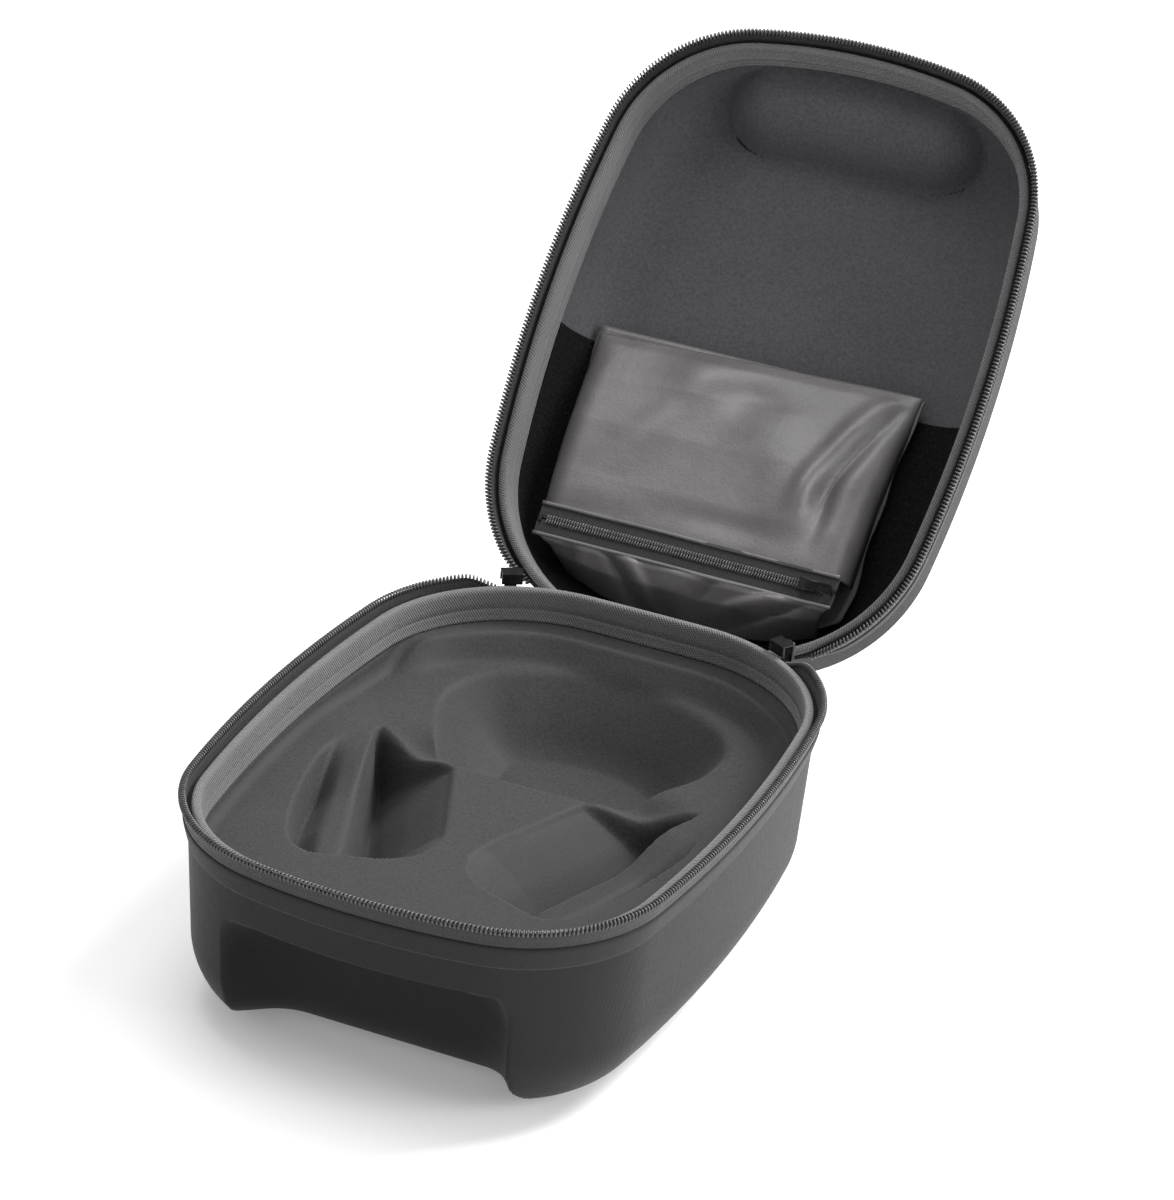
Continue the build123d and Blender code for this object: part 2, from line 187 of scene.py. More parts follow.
def inside(points, x, y):
    """Distance inside a closed line of plan points, negative outside."""
    line = np.array(points + points[:1], float)
    best = np.full(x.shape, 1e9)
    within = np.zeros(x.shape, bool)
    for a, b in zip(line[:-1], line[1:]):
        e = b - a
        t = np.clip(((x - a[0]) * e[0] + (y - a[1]) * e[1]) / (e @ e), 0, 1)
        best = np.minimum(best, np.hypot(x - a[0] - t * e[0], y - a[1] - t * e[1]))
        crosses = ((a[1] > y) != (b[1] > y)) & (x < (b[0] - a[0]) * (y - a[1]) / (b[1] - a[1] + 1e-12) + a[0])
        within ^= crosses
    return np.where(within, best, -best)


def rounded(points, sharp=(), steps=6):
    """A smooth closed line through plan points; the named corners stay sharp."""
    out = []
    n = len(points)
    p = np.array(points, float)
    for i in range(n):
        a, b, c, d = p[i - 1], p[i], p[(i + 1) % n], p[(i + 2) % n]
        m0 = (b - b) if i in sharp else (c - a) / 2
        m1 = (c - c) if (i + 1) % n in sharp else (d - b) / 2
        for t in np.arange(steps) / steps:
            h = 2 * t**3 - 3 * t**2 + 1, t**3 - 2 * t**2 + t, -2 * t**3 + 3 * t**2, t**3 - t**2
            out.append(tuple(h[0] * b + h[1] * m0 + h[2] * c + h[3] * m1))
    return out


# ---- meshes ----------------------------------------------------------------------
def make_piece(name, verts, faces, material, uv=None, smooth=True):
    mesh = bpy.data.meshes.new(name)
    mesh.from_pydata([tuple(v) for v in verts], [], [tuple(f) for f in faces])
    if uv is not None:
        layer = mesh.uv_layers.new(name="UVMap")
        layer.data.foreach_set("uv", np.asarray(uv, np.float32).ravel())
    mesh.materials.append(material)
    mesh.polygons.foreach_set("use_smooth", [smooth] * len(mesh.polygons))
    piece = bpy.data.objects.new(name, mesh)
    bpy.context.scene.collection.objects.link(piece)
    return piece


def tidy_mesh(piece, merge=1e-6):
    """Merges coincident points, drops empty faces and turns the faces outwards."""
    b = bmesh.new()
    b.from_mesh(piece.data)
    bmesh.ops.remove_doubles(b, verts=b.verts, dist=merge)
    bmesh.ops.dissolve_degenerate(b, dist=merge, edges=b.edges)
    bmesh.ops.recalc_face_normals(b, faces=b.faces)
    b.to_mesh(piece.data)
    b.free()
    return piece


def loft_rings(
    name, rings, material, wrap=True, closed=False, ends=(False, False), along=None, merge=1e-6, lining=None
):
    """A surface through rings of points, with UVs in metres along and across."""
    r = np.asarray(rings, float)
    rows, cols = r.shape[:2]
    verts = list(r.reshape(-1, 3))
    j = np.arange(rows if closed else rows - 1)
    i = np.arange(cols if wrap else cols - 1)
    jj, ii = np.meshgrid(j, i, indexing="ij")
    nj, ni = (jj + 1) % rows, (ii + 1) % cols
    faces = np.stack([jj * cols + ii, jj * cols + ni, nj * cols + ni, nj * cols + ii], -1).reshape(-1, 4)
    if along is None:
        along = np.concatenate([[0], np.cumsum(np.linalg.norm(np.diff(r.mean(0), axis=0), axis=1))])
    step = along[1] - along[0]
    u = np.append(along, along[-1] + step)
    middle = r[:, 0]
    across = np.concatenate([[0], np.cumsum(np.linalg.norm(np.diff(middle, axis=0), axis=1))])
    v = np.append(across, across[-1] + np.linalg.norm(middle[0] - middle[-1]))
    uv = np.stack(
        [
            np.stack([u[ii], u[ii + 1], u[ii + 1], u[ii]], -1),
            np.stack([v[jj], v[jj], v[jj + 1], v[jj + 1]], -1),
        ],
        -1,
    ).reshape(-1, 2)
    faces, uv = [tuple(f) for f in faces], list(uv)
    for end, row in zip(ends, (0, rows - 1)):
        if not end:
            continue
        centre = len(verts)
        verts.append(r[row].mean(0))
        for a in range(cols):
            faces.append((row * cols + a, row * cols + (a + 1) % cols, centre))
            uv += [(u[a], v[row]), (u[a + 1], v[row]), (u[a], v[row])]
    piece = make_piece(name, verts, faces, material, uv)
    if lining is not None:
        row, inner = lining
        piece.data.materials.append(inner)
        lined = np.zeros(len(faces), np.int32)
        lined[row * len(i) :] = 1
        if ends[0]:
            lined[(rows - 1) * len(i) : (rows - 1) * len(i) + cols] = 0
        piece.data.polygons.foreach_set("material_index", lined)
    return tidy_mesh(piece, merge)


def tapered(points):
    """Draws a band in and down where the zipper ends at the hinge."""
    to_end = np.where(RIM[:, 1] > 0, np.abs(RIM[:, 0]) - BACK_GAP, 99.0)
    full = (0.12 + 0.88 * rise(to_end / 16.0))[:, None]
    flat = ring(3.2, 9.0)
    return flat + (points - flat) * full


def rim_band(name, half, profile, material, gap=False):
    """A closed cross-section of insets and depths, carried round the rim."""
    rings = np.array([ring(e, d) for e, d in profile])
    if not gap:
        return loft_rings(name, to_world(half, rings), material, closed=True, along=ALONG / 1000)
    rings = np.array([tapered(r) for r in rings])
    rings = to_world(half, rings)
    keep = np.where(~((np.abs(RIM[:, 0]) < BACK_GAP) & (RIM[:, 1] > 0)))[0]
    start = np.where(np.diff(keep) > 1)[0][0] + 1
    order = np.concatenate([keep[start:], keep[:start]])
    along = ALONG[order].copy()
    along[along < along[0]] += RIM_LENGTH
    piece = loft_rings(name, rings[:, order], material, wrap=False, closed=True, along=along / 1000)
    b = bmesh.new()
    b.from_mesh(piece.data)
    bmesh.ops.holes_fill(b, edges=b.edges, sides=0)
    b.to_mesh(piece.data)
    b.free()
    return tidy_mesh(piece)


# ---- shader maths -------------------------------------------------------------------
class Value:
    """A socket that takes part in sums."""

    def __init__(self, look, socket):
        self.look = look
        self.socket = socket

    def _with(self, operation, other, swap=False):
        a, b = (other, self) if swap else (self, other)
        return self.look.node("ShaderNodeMath", {"operation": operation}, {0: a, 1: b})

    def __add__(self, other):
        return self._with("ADD", other)

    __radd__ = __add__

    def __sub__(self, other):
        return self._with("SUBTRACT", other)

    def __rsub__(self, other):
        return self._with("SUBTRACT", other, swap=True)

    def __mul__(self, other):
        return self._with("MULTIPLY", other)

    __rmul__ = __mul__

    def wave(self):
        return self.look.node("ShaderNodeMath", {"operation": "SINE"}, {0: self})

    def clamp(self, low, high):
        inputs = {"Value": self, "From Min": low, "From Max": high}
        return self.look.node("ShaderNodeMapRange", {"clamp": True}, inputs, "Result")


class Look:
    """One material and its nodes."""

    def __init__(self, name):
        self.material = bpy.data.materials.new(name)
        self.material.use_nodes = True
        self.tree = self.material.node_tree
        self.shader = self.tree.nodes["Principled BSDF"]

    def node(self, kind, settings=None, inputs=None, output=0):
        made = self.tree.nodes.new(kind)
        for key, value in (settings or {}).items():
            if key == "stops":
                ramp = made.color_ramp
                outermost = zip((ramp.elements[0], ramp.elements[-1]), (value[0], value[-1]))
                for stop, (place, colour) in outermost:
                    stop.position, stop.color = place, (*colour, 1)
                for place, colour in value[1:-1]:
                    ramp.elements.new(place).color = (*colour, 1)
            else:
                setattr(made, key, value)
        for key, value in (inputs or {}).items():
            if isinstance(value, Value):
                self.tree.links.new(value.socket, made.inputs[key])
            else:
                made.inputs[key].default_value = value
        return Value(self, made.outputs[output])

    def feed(self, **values):
        for key, value in values.items():
            socket = self.shader.inputs[key.replace("_", " ")]
            if isinstance(value, Value):
                self.tree.links.new(value.socket, socket)
            else:
                socket.default_value = value
        return self

    def object_space(self):
        return self.node("ShaderNodeTexCoord", output="Object")

    def across_and_along(self):
        uv = self.node("ShaderNodeUVMap", {"uv_map": "UVMap"})
        return self.parts(uv)

    def parts(self, vector):
        split = self.node("ShaderNodeSeparateXYZ", inputs={0: vector})
        outputs = split.socket.node.outputs
        return [Value(self, out) for out in outputs]

    def noise(self, vector, size, detail=3.0, rough=0.6):
        inputs = {"Vector": vector, "Scale": 1 / size, "Detail": detail, "Roughness": rough}
        return self.node("ShaderNodeTexNoise", inputs=inputs)

    def cells(self, vector, size, output="Distance", kind="F1"):
        inputs = {"Vector": vector, "Scale": 1 / size}
        return self.node("ShaderNodeTexVoronoi", {"feature": kind}, inputs, output)

    def ramp(self, value, stops):
        return self.node("ShaderNodeValToRGB", {"stops": stops}, {"Fac": value})

    def bump(self, height, distance, strength=1.0, under=None):
        inputs = {"Height": height, "Distance": distance, "Strength": strength}
        if under is not None:
            inputs["Normal"] = under
        return self.node("ShaderNodeBump", inputs=inputs)


def tone(colour, share):
    return tuple(c * share for c in colour)


def knit_fabric(name, colour, stitch, sheen=0.25, depth=0.00012):
    """Fine warp-knit fabric laminated on foam."""
    look = Look(name)
    place = look.object_space()
    x, y, z = look.parts(place)
    turn = 2 * math.pi / stitch
    ribs = ((x + y * 0.6 + z * 0.8) * turn).wave()
    rows = ((y * 0.8 - x * 0.6 + z) * turn).wave()
    weave = ribs * rows
    grain = look.noise(place, stitch * 1.3, 2.0)
    patches = look.noise(place, 0.035, 3.0)
    mixed = weave * 0.04 + grain * 0.78 + patches * 0.22
    stops = [(0.25, tone(colour, 0.62)), (0.5, colour), (0.78, tone(colour, 1.45))]
    look.feed(
        Base_Color=look.ramp(mixed, stops),
        Roughness=grain.clamp(-1.5, 1.6),
        Sheen_Weight=sheen,
        Sheen_Roughness=0.5,
        Specular_IOR_Level=0.2,
        Normal=look.bump(weave * 0.18 + grain, depth),
    )
    look.shader.inputs["Sheen Tint"].default_value = (0.8, 0.8, 0.85, 1)
    return look.material


def binding_fabric(name, colour):
    """Ribbed grosgrain with two woven lines."""
    look = Look(name)
    along, across, _ = look.across_and_along()
    ribs = ((along + across * 0.7) * (2 * math.pi / 0.00125)).wave()
    threads = ((across - along * 0.25) * (2 * math.pi / 0.0008)).wave()
    place = look.object_space()
    grain = look.noise(place, 0.0006, 2.0)
    soft = look.noise(place, 0.02, 2.0)
    mixed = ribs * 0.16 + threads * 0.07 + grain * 0.5 + soft * 0.25 + 0.12
    stops = [(0.2, tone(colour, 0.45)), (0.5, colour), (0.85, tone(colour, 1.5))]
    look.feed(
        Base_Color=look.ramp(mixed, stops),
        Roughness=grain.clamp(-1.2, 1.6),
        Sheen_Weight=0.3,
        Specular_IOR_Level=0.3,
        Normal=look.bump(ribs * 0.6 + threads * 0.3 + grain, 0.00018),
    )
    return look.material


def tape_fabric(name, colour):
    """Woven polyester zipper tape."""
    look = Look(name)
    along, across, _ = look.across_and_along()
    warp = (across * (2 * math.pi / 0.0007)).wave()
    weft = (along * (2 * math.pi / 0.0006)).wave()
    place = look.object_space()
    grain = look.noise(place, 0.0005, 2.0)
    weave = warp * weft
    stops = [(0.2, tone(colour, 0.5)), (0.8, tone(colour, 1.7))]
    look.feed(
        Base_Color=look.ramp(weave * 0.2 + grain * 0.7 + 0.1, stops),
        Roughness=grain.clamp(-1.0, 1.5),
        Sheen_Weight=0.15,
        Specular_IOR_Level=0.3,
        Normal=look.bump(weave + grain, 0.00012),
    )
    return look.material


def loop_pile(name, colour):
    """Dense loop side of a hook-and-loop fastening."""
    look = Look(name)
    place = look.object_space()
    loops = look.cells(place, 0.0011)
    fuzz = look.noise(place, 0.0007, 4.0, 0.8)
    stops = [(0.3, tone(colour, 0.4)), (0.6, colour), (0.9, tone(colour, 2.6))]
    look.feed(
        Base_Color=look.ramp(loops * 0.4 + fuzz * 0.75, stops),
        Roughness=0.95,
        Specular_IOR_Level=0.08,
        Normal=look.bump(loops * 0.6 + fuzz, 0.0005),
    )
    return look.material


def leatherette_skin(name, colour):
    """Soft coated cloth with a fine pebble and a low gloss."""
    look = Look(name)
    place = look.object_space()
    pebble = look.cells(place, 0.0009)
    creases = look.noise(place, 0.012, 4.0, 0.55)
    haze = look.noise(place, 0.03, 3.0)
    fine = look.noise(place, 0.0012, 3.0, 0.7)
    stops = [(0.3, tone(colour, 0.7)), (0.6, colour), (0.85, tone(colour, 1.3))]
    skin = look.bump(pebble * 0.5 + fine, 0.00008)
    look.feed(
        Base_Color=look.ramp(haze * 0.6 + fine * 0.4, stops),
        Roughness=(haze * 0.16 + fine * 0.14 + 0.26),
        Coat_Weight=haze.clamp(0.2, 2.5),
        Specular_IOR_Level=0.5,
        Normal=look.bump(creases, 0.0006, 0.6, under=skin),
    )
    look.shader.inputs["Coat Roughness"].default_value = 0.42
    return look.material


def nylon(name, colour):
    """Monofilament, slightly glossy."""
    look = Look(name)
    place = look.object_space()
    haze = look.noise(place, 0.004, 2.0)
    fine = look.noise(place, 0.0004, 2.0)
    stops = [(0.3, tone(colour, 0.7)), (0.8, tone(colour, 1.5))]
    look.feed(
        Base_Color=look.ramp(haze, stops),
        Roughness=haze * 0.2 + fine * 0.12 + 0.2,
        Specular_IOR_Level=0.55,
        Normal=look.bump(fine, 0.00004),
    )
    return look.material


def coated_metal(name, colour):
    """Die-cast metal with a black coating, rubbed on its high places."""
    look = Look(name)
    place = look.object_space()
    wear = look.noise(place, 0.003, 4.0, 0.65)
    fine = look.noise(place, 0.0005, 2.0)
    stops = [(0.4, colour), (0.66, tone(colour, 1.8)), (0.8, tone(colour, 5.0))]
    look.feed(
        Base_Color=look.ramp(wear, stops),
        Metallic=0.85,
        Roughness=wear * 0.2 + fine * 0.1 + 0.24,
        Normal=look.bump(fine, 0.00003),
    )
    return look.material


def thread(name, colour):
    """Twisted sewing thread."""
    look = Look(name)
    place = look.object_space()
    twist = look.noise(place, 0.0004, 2.0)
    stops = [(0.3, tone(colour, 0.6)), (0.8, tone(colour, 1.8))]
    look.feed(
        Base_Color=look.ramp(twist, stops),
        Roughness=twist.clamp(-0.8, 1.4),
        Normal=look.bump(twist, 0.00008),
    )
    return look.material


outer_fabric = knit_fabric("outer_knit", (0.0092, 0.0088, 0.0088), 0.0011, sheen=0.06)
tray_fabric = knit_fabric("tray_knit", (0.027, 0.027, 0.0275), 0.0010, sheen=0.10)
lid_fabric = knit_fabric("lid_knit", (0.056, 0.054, 0.059), 0.0010, sheen=0.15)
binding_ribbon = binding_fabric("binding_ribbon", (0.097, 0.094, 0.098))
zipper_fabric = tape_fabric("zipper_tape", (0.014, 0.014, 0.014))
pouch_tape_fabric = tape_fabric("pouch_tape", (0.035, 0.035, 0.036))
coil_nylon = nylon("coil_nylon", (0.045, 0.045, 0.046))
pouch_coil_nylon = nylon("pouch_coil_nylon", (0.10, 0.10, 0.104))
loop_lining = loop_pile("loop_pile", (0.0070, 0.0070, 0.0076))
hook_lining = loop_pile("hook_pile", (0.006, 0.006, 0.006))
leatherette = leatherette_skin("leatherette", (0.112, 0.106, 0.108))
black_metal = coated_metal("black_metal", (0.02, 0.02, 0.021))
sewing_thread = thread("sewing_thread", (0.02, 0.02, 0.02))
hinge_fabric = tape_fabric("hinge_cloth", (0.02, 0.02, 0.021))


# ---- moulded shells --------------------------------------------------------------------
def grip_front(x, depth, start, grow, end):
    """How far back the finger grip's wall stands, and far in front outside it."""
    corner, top = 24.0, 20.0
    flare = np.clip(depth - (end - 17.0), 0, 17.0)
    half = GRIP_HALF + grow + 0.75 * (17.0 - np.sqrt(17.0**2 - flare**2))
    side = np.clip(np.abs(x) - (half - corner), 0, None)
    above = np.clip(start - grow + top - depth, 0, None)
    cut_side = corner - np.sqrt(np.clip(corner**2 - side**2, 0, None))
    cut_top = top - np.sqrt(np.clip(top**2 - above**2, 0, None))
    foot = np.clip(depth - (end - 26.0), 0, 26.0)
    wall_y = GRIP_WALL + grow - cut_side - cut_top + 26.0 - np.sqrt(np.clip(26.0**2 - foot**2, 0, None))
    outside = np.clip(np.maximum(side - corner, above - top), 0, None)
    return wall_y - 14 * outside


def press_grip(points, start, grow, soft, end):
    """Pushes the front wall back over the finger grip."""
    p = points.copy()
    wall_y = grip_front(p[..., 0], p[..., 2], start, grow, end)
    p[..., 1] = np.where(p[..., 1] < -40, smooth_max(p[..., 1], wall_y, soft), p[..., 1])
    return p


def floor_rings(edge, count, power=1.0):
    """Rings from an edge ring in to its centre."""
    centre = np.array([0, 0, edge[0, 2]])
    shares = (1 - np.arange(1, count + 1) / (count + 0.6)) ** power
    return [centre + s * (edge - centre) for s in shares]


def moulded_shell(name, half, depth, radius, start, material):
    """Outside and inside of one half, closed round its cut edge."""
    outer = [ring(SHELL_INSET + 0.1, d) for d in np.linspace(SETBACK + 0.1, start - 4, 10)]
    outer += [ring(SHELL_INSET + 0.1, d) for d in np.linspace(start - 3, start + 8, 14)]
    low = depth - radius
    if low > start + 9:
        outer += [ring(SHELL_INSET + 0.1, d) for d in np.linspace(start + 9, low, 12)]
    angles = np.linspace(3, 90, 22) * math.pi / 180
    wall_in = SHELL_INSET + 0.1 + radius
    first = max(low, 0)
    fillet = [ring(wall_in - radius * math.cos(a), first + (depth - first) * math.sin(a)) for a in angles]
    last_outer = outer[-1][0, 2]
    fillet = [r for r in fillet if r[0, 2] > last_outer + 0.2]
    for r in fillet:
        r[:, 2] = np.minimum(r[:, 2], depth - 0.02)
    outer += fillet
    outer += floor_rings(outer[-1], 26)
    outer = press_grip(np.array(outer), start, 0.0, 11.0, depth)
    inner_inset, inner_depth, inner_radius = SHELL_INSET + WALL - 0.1, depth - WALL, radius - WALL
    inner = [ring(inner_inset, d) for d in np.linspace(SETBACK + 0.1, inner_depth - inner_radius, 12)]
    fillet = [
        ring(inner_inset + inner_radius * (1 - math.cos(a)), inner_depth - inner_radius * (1 - math.sin(a)))
        for a in angles
    ]
    inner += fillet
    inner += floor_rings(inner[-1], 64 if half == "lid" else 20)
    inner = np.array(inner)
    if half == "lid":
        x, y = inner[..., 0], inner[..., 1]
        side = np.clip(np.abs(x) - 34, 0, None)
        back = np.clip(y + 118, 0, None)
        reach = np.hypot(side, back) - 2
        bump = start - WALL + 1.5 + 26 - np.sqrt(np.clip(26**2 - np.clip(reach, 0, 26) ** 2, 0, None))
        bump += 3.0 * np.clip(reach - 26, 0, None)
        inner[..., 2] = np.where(y < -40, smooth_min(inner[..., 2], bump, 5.0), inner[..., 2])
    else:
        inner = press_grip(inner, start, WALL, 6.0, depth)
    rings = np.concatenate([outer[::-1], inner])
    lining = (len(outer), lid_fabric)
    piece = loft_rings(
        name,
        to_world(half, rings),
        material,
        ends=(True, True),
        along=ALONG / 1000,
        merge=4e-6,
        lining=lining,
    )
    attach(piece, half)
    return piece


case_base = moulded_shell("case_base", "base", BASE_DEPTH, 30.0, 31.4, outer_fabric)
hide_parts("base_shell")
case_lid = moulded_shell("case_lid", "lid", LID_DEPTH, 28.0, 22.4, outer_fabric)
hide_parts("lid_shell")


# ---- tray --------------------------------------------------------------------------------
BOWL = rounded(
    [(-29, 9), (0, 7), (29, 9), (42, 24), (54, 46), (60, 66), (57, 82), (46, 96), (26, 107), (0, 111),
     (-26, 107), (-46, 96), (-57, 82), (-60, 66), (-54, 46), (-42, 24)], sharp=(0, 2))
CUP = rounded(
    [(26, 8), (19, -9), (7, -40), (6.5, -53), (11, -62), (20, -68.5), (33, -73), (46, -77),
     (57, -71), (67, -49), (75, -16), (77, 4), (77, 17), (73, 23), (65, 24), (44, 16)], sharp=(0,))
CUP_OUTER = [(-78, 44), (-74, 51), (-60, 62), (-49, 67), (-16, 75), (4, 77), (18, 77), (26, 70)]
CUP_INNER = [(-78, 40), (-68, 19), (-60, 10), (-50, 6.5), (-40, 7), (-9, 19), (9, 26), (26, 40)]
SLOT_LINE = [(-78, 40), (-60, 33), (-45, 38), (-30, 44), (-14, 51), (0, 56), (14, 61), (26, 67)]
CUP_SHAPE = [(-1.0, 24), (-0.85, 27.5), (-0.45, 39), (-0.15, 49.5), (-0.05, 54), (0.06, 54),
             (0.2, 34), (0.3, 31.8), (0.6, 32), (0.72, 35.5), (0.85, 39.5), (1.0, 39.5)]


def table(pairs, at):
    pairs = np.array(pairs, float)
    return np.interp(at, pairs[:, 0], pairs[:, 1])


def tray_depth(x, y, edge):
    """Depth of the tray's face below the meeting plane."""
    ax = np.abs(x)
    top = TRAY_TOP + 3.4 * rise((y - 5) / 55)
    fold_line = 14 + 4.5 * rise((y - 82) / 26)
    shelf = 18.4 + 0.12 * (edge - 8)
    back = rise((y - 66) / 22)
    ledge = rise((edge - fold_line) / 11)
    crest = np.exp(-(((edge - fold_line) / 1.7) ** 2))
    top = top + ((shelf - top) * (1 - ledge) - 1.0 * crest) * back
    saddle = bell(ax, y, 44, 20, 15, 9)
    top = top + 6.5 * saddle
    radius = 6.0
    wall = np.clip(8 + radius - edge, 0, radius)
    curve = radius - np.sqrt(radius**2 - wall**2)
    depth = top - curve * np.clip((top - BINDING_END) / radius, 0.0, None)
    bowl = inside(BOWL, x, y)
    run = 9 + 21 * rise((y - 12) / 60) - 6 * rise((ax - 30) / 25)
    sink = np.clip(bowl / run, 0, 1)
    sink = np.where(sink < 0.16, sink**2 / 0.32, sink - 0.08)
    sink = smooth_min(sink, 0.9 + 0 * sink, 0.28) / 0.83
    floor = 54 - 3 * rise((y - 70) / 40)
    depth = depth + (floor - depth) * np.clip(sink, 0, 1.02)
    cup = inside(CUP, ax, y)
    outer, inner, slot = table(CUP_OUTER, y), table(CUP_INNER, y), table(SLOT_LINE, y)
    off_slot = ax - slot
    v = np.where(ax > slot, off_slot / np.maximum(outer - slot, 6), off_slot / np.maximum(slot - inner, 8))
    fine = np.linspace(-1, 1, 201)
    shape = table(CUP_SHAPE, fine)
    shape = np.convolve(np.pad(shape, 6, mode="edge"), np.ones(13) / 13, mode="valid")
    body = np.interp(np.clip(v, -1, 1), fine, shape)
    front = rise((-40 - y) / 26)
    body = body + (np.minimum(body, 43) - body) * front
    outward = rise((v - 0.12) / 0.1) * rise((y + 26) / 32)
    body = body + (24.8 - body) * outward
    step = 3.0 + 4.5 * rise((y - 4) / 12)
    drop = rise(cup / step)
    base = top - curve * np.clip((top - BINDING_END) / radius, 0.0, None)
    sunk = base + (np.maximum(body, base) - base) * drop
    return np.where(cup > 0, np.where(depth > sunk, smooth_max(depth, sunk, 3.0), sunk), depth)


def headphone_tray():
    edge_inset = 8.15
    insets = np.concatenate([np.linspace(edge_inset, 16, 14), np.linspace(16.8, 34, 20)])
    flat = [RIM + e * INWARD for e in insets]
    edges = [np.full(AROUND, e) for e in insets]
    last = flat[-1]
    count = 92
    for k in range(1, count + 1):
        s = 1 - k / (count + 0.5)
        flat.append(last * s)
        edges.append(np.full(AROUND, 34.0 + 60 * (1 - s)))
    p = np.array(flat)
    e = np.array(edges)
    depth = tray_depth(p[..., 0], p[..., 1], e)
    top = np.concatenate([p, depth[..., None]], -1)
    top[0, :, 2] = BINDING_END - 1.5
    under = top.copy()
    under[..., 2] += 2.2
    under[0, :, 2] = BINDING_END + 0.5
    rings = np.concatenate([top[::-1], under])
    points = to_world("base", rings)
    piece = loft_rings(
        "headphone_tray_lining", points, tray_fabric, ends=(True, True), along=ALONG / 1000
    )
    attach(piece, "base")
    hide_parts("headphone_tray")
    return piece


headphone_tray()


# ---- bindings, tapes and the fabric roll round each rim -----------------------------------
BINDING = [
    (4.7, 6.9), (4.55, 6.0), (4.7, 5.1), (5.2, 4.6), (6.0, 4.45), (6.8, 4.4), (7.6, 4.55),
    (8.1, 5.2), (8.3, 6.4), (8.28, 8.0), (8.32, 10.0), (8.28, 12.3), (7.9, 12.7), (8.28, 13.1),
    (8.34, 14.6), (8.3, 16.0), (8.5, 16.6), (8.62, 17.3), (8.5, 17.9), (8.0, 18.1), (7.3, 17.9),
    (7.15, 17.0), (7.12, 12.0), (7.1, 6.2), (6.4, 5.85), (5.4, 5.85), (5.0, 6.2), (4.95, 6.9),
]
TAPE = [
    (0.95, 2.3), (1.15, 1.95), (1.9, 1.9), (2.3, 2.3), (2.5, 3.4), (2.75, 5.4), (2.85, 9.2),
    (1.9, 9.3), (1.5, 7.4), (1.25, 5.0), (1.05, 3.4),
]
ROLL = [
    (1.55, 8.2), (1.25, 8.7), (1.2, 9.6), (1.45, 11.0), (1.85, 13.0), (2.3, 15.2), (2.75, 17.2), (3.05, 18.2),
    (2.95, 14.0), (2.9, 9.0), (2.3, 8.2),
]

for half in ("base", "lid"):
    binding = rim_band(f"{half}_edge_binding", half, BINDING, binding_ribbon)
    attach(binding, half)
    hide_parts(f"{half}_binding")
    tape = rim_band(f"{half}_tape", half, TAPE, zipper_fabric, gap=True)
    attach(tape, half)
    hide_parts(f"{half}_zipper_tape")
    roll = rim_band(f"{half}_seam_roll", half, ROLL, outer_fabric, gap=True)
    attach(roll, half)


# ---- coil rows, by Geometry Nodes ------------------------------------------------------------
class Tree:
    """A Geometry Nodes group that places one small shape along a path."""

    def __init__(self, name, sizes):
        self.group = bpy.data.node_groups.new(name, "GeometryNodeTree")
        face = self.group.interface
        self.ids = {}
        geometry = face.new_socket("Geometry", in_out="INPUT", socket_type="NodeSocketGeometry")
        self.ids["Geometry"] = geometry.identifier
        for key, value in sizes.items():
            item = face.new_socket(key, in_out="INPUT", socket_type="NodeSocketFloat")
            item.default_value = value
            self.ids[key] = item.identifier
        item = face.new_socket("Material", in_out="INPUT", socket_type="NodeSocketMaterial")
        self.ids["Material"] = item.identifier
        face.new_socket("Geometry", in_out="OUTPUT", socket_type="NodeSocketGeometry")
        self.entry = self.group.nodes.new("NodeGroupInput")
        self.exit = self.group.nodes.new("NodeGroupOutput")

    def node(self, kind, settings=None, inputs=None):
        made = self.group.nodes.new(kind)
        for key, value in (settings or {}).items():
            setattr(made, key, value)
        for key, value in (inputs or {}).items():
            if isinstance(value, bpy.types.NodeSocket):
                self.group.links.new(value, made.inputs[key])
            else:
                made.inputs[key].default_value = value
        return made

    def size(self, name):
        return self.entry.outputs[name]

    def stations(self):
        """Points a pitch apart along the path, and the turn that stands a shape on each."""
        path = self.node("GeometryNodeMeshToCurve", inputs={"Mesh": self.size("Geometry")})
        along = {"Curve": path.outputs[0], "Length": self.size("Pitch")}
        spaced = self.node("GeometryNodeResampleCurve", {"mode": "LENGTH"}, along)
        tangent = self.node("GeometryNodeInputTangent")
        up = self.node("GeometryNodeInputNamedAttribute", {"data_type": "FLOAT_VECTOR"}, {"Name": "up"})
        turn = self.node(
            "FunctionNodeAxesToRotation",
            {"primary_axis": "Z", "secondary_axis": "X"},
            {"Primary Axis": up.outputs[0], "Secondary Axis": tangent.outputs[0]},
        )
        return spaced, turn

    def place(self, shape, spaced, turn):
        """Sets a shape on every station, as one plain mesh in the row's material."""
        smooth = self.node("GeometryNodeSetShadeSmooth", inputs={0: shape.outputs[0]})
        placed = self.node(
            "GeometryNodeInstanceOnPoints",
            inputs={"Points": spaced.outputs[0], "Instance": smooth.outputs[0], "Rotation": turn.outputs[0]},
        )
        real = self.node("GeometryNodeRealizeInstances", inputs={"Geometry": placed.outputs[0]})
        painted = self.node(
            "GeometryNodeSetMaterial", inputs={"Geometry": real.outputs[0], "Material": self.size("Material")}
        )
        self.group.links.new(painted.outputs[0], self.exit.inputs[0])


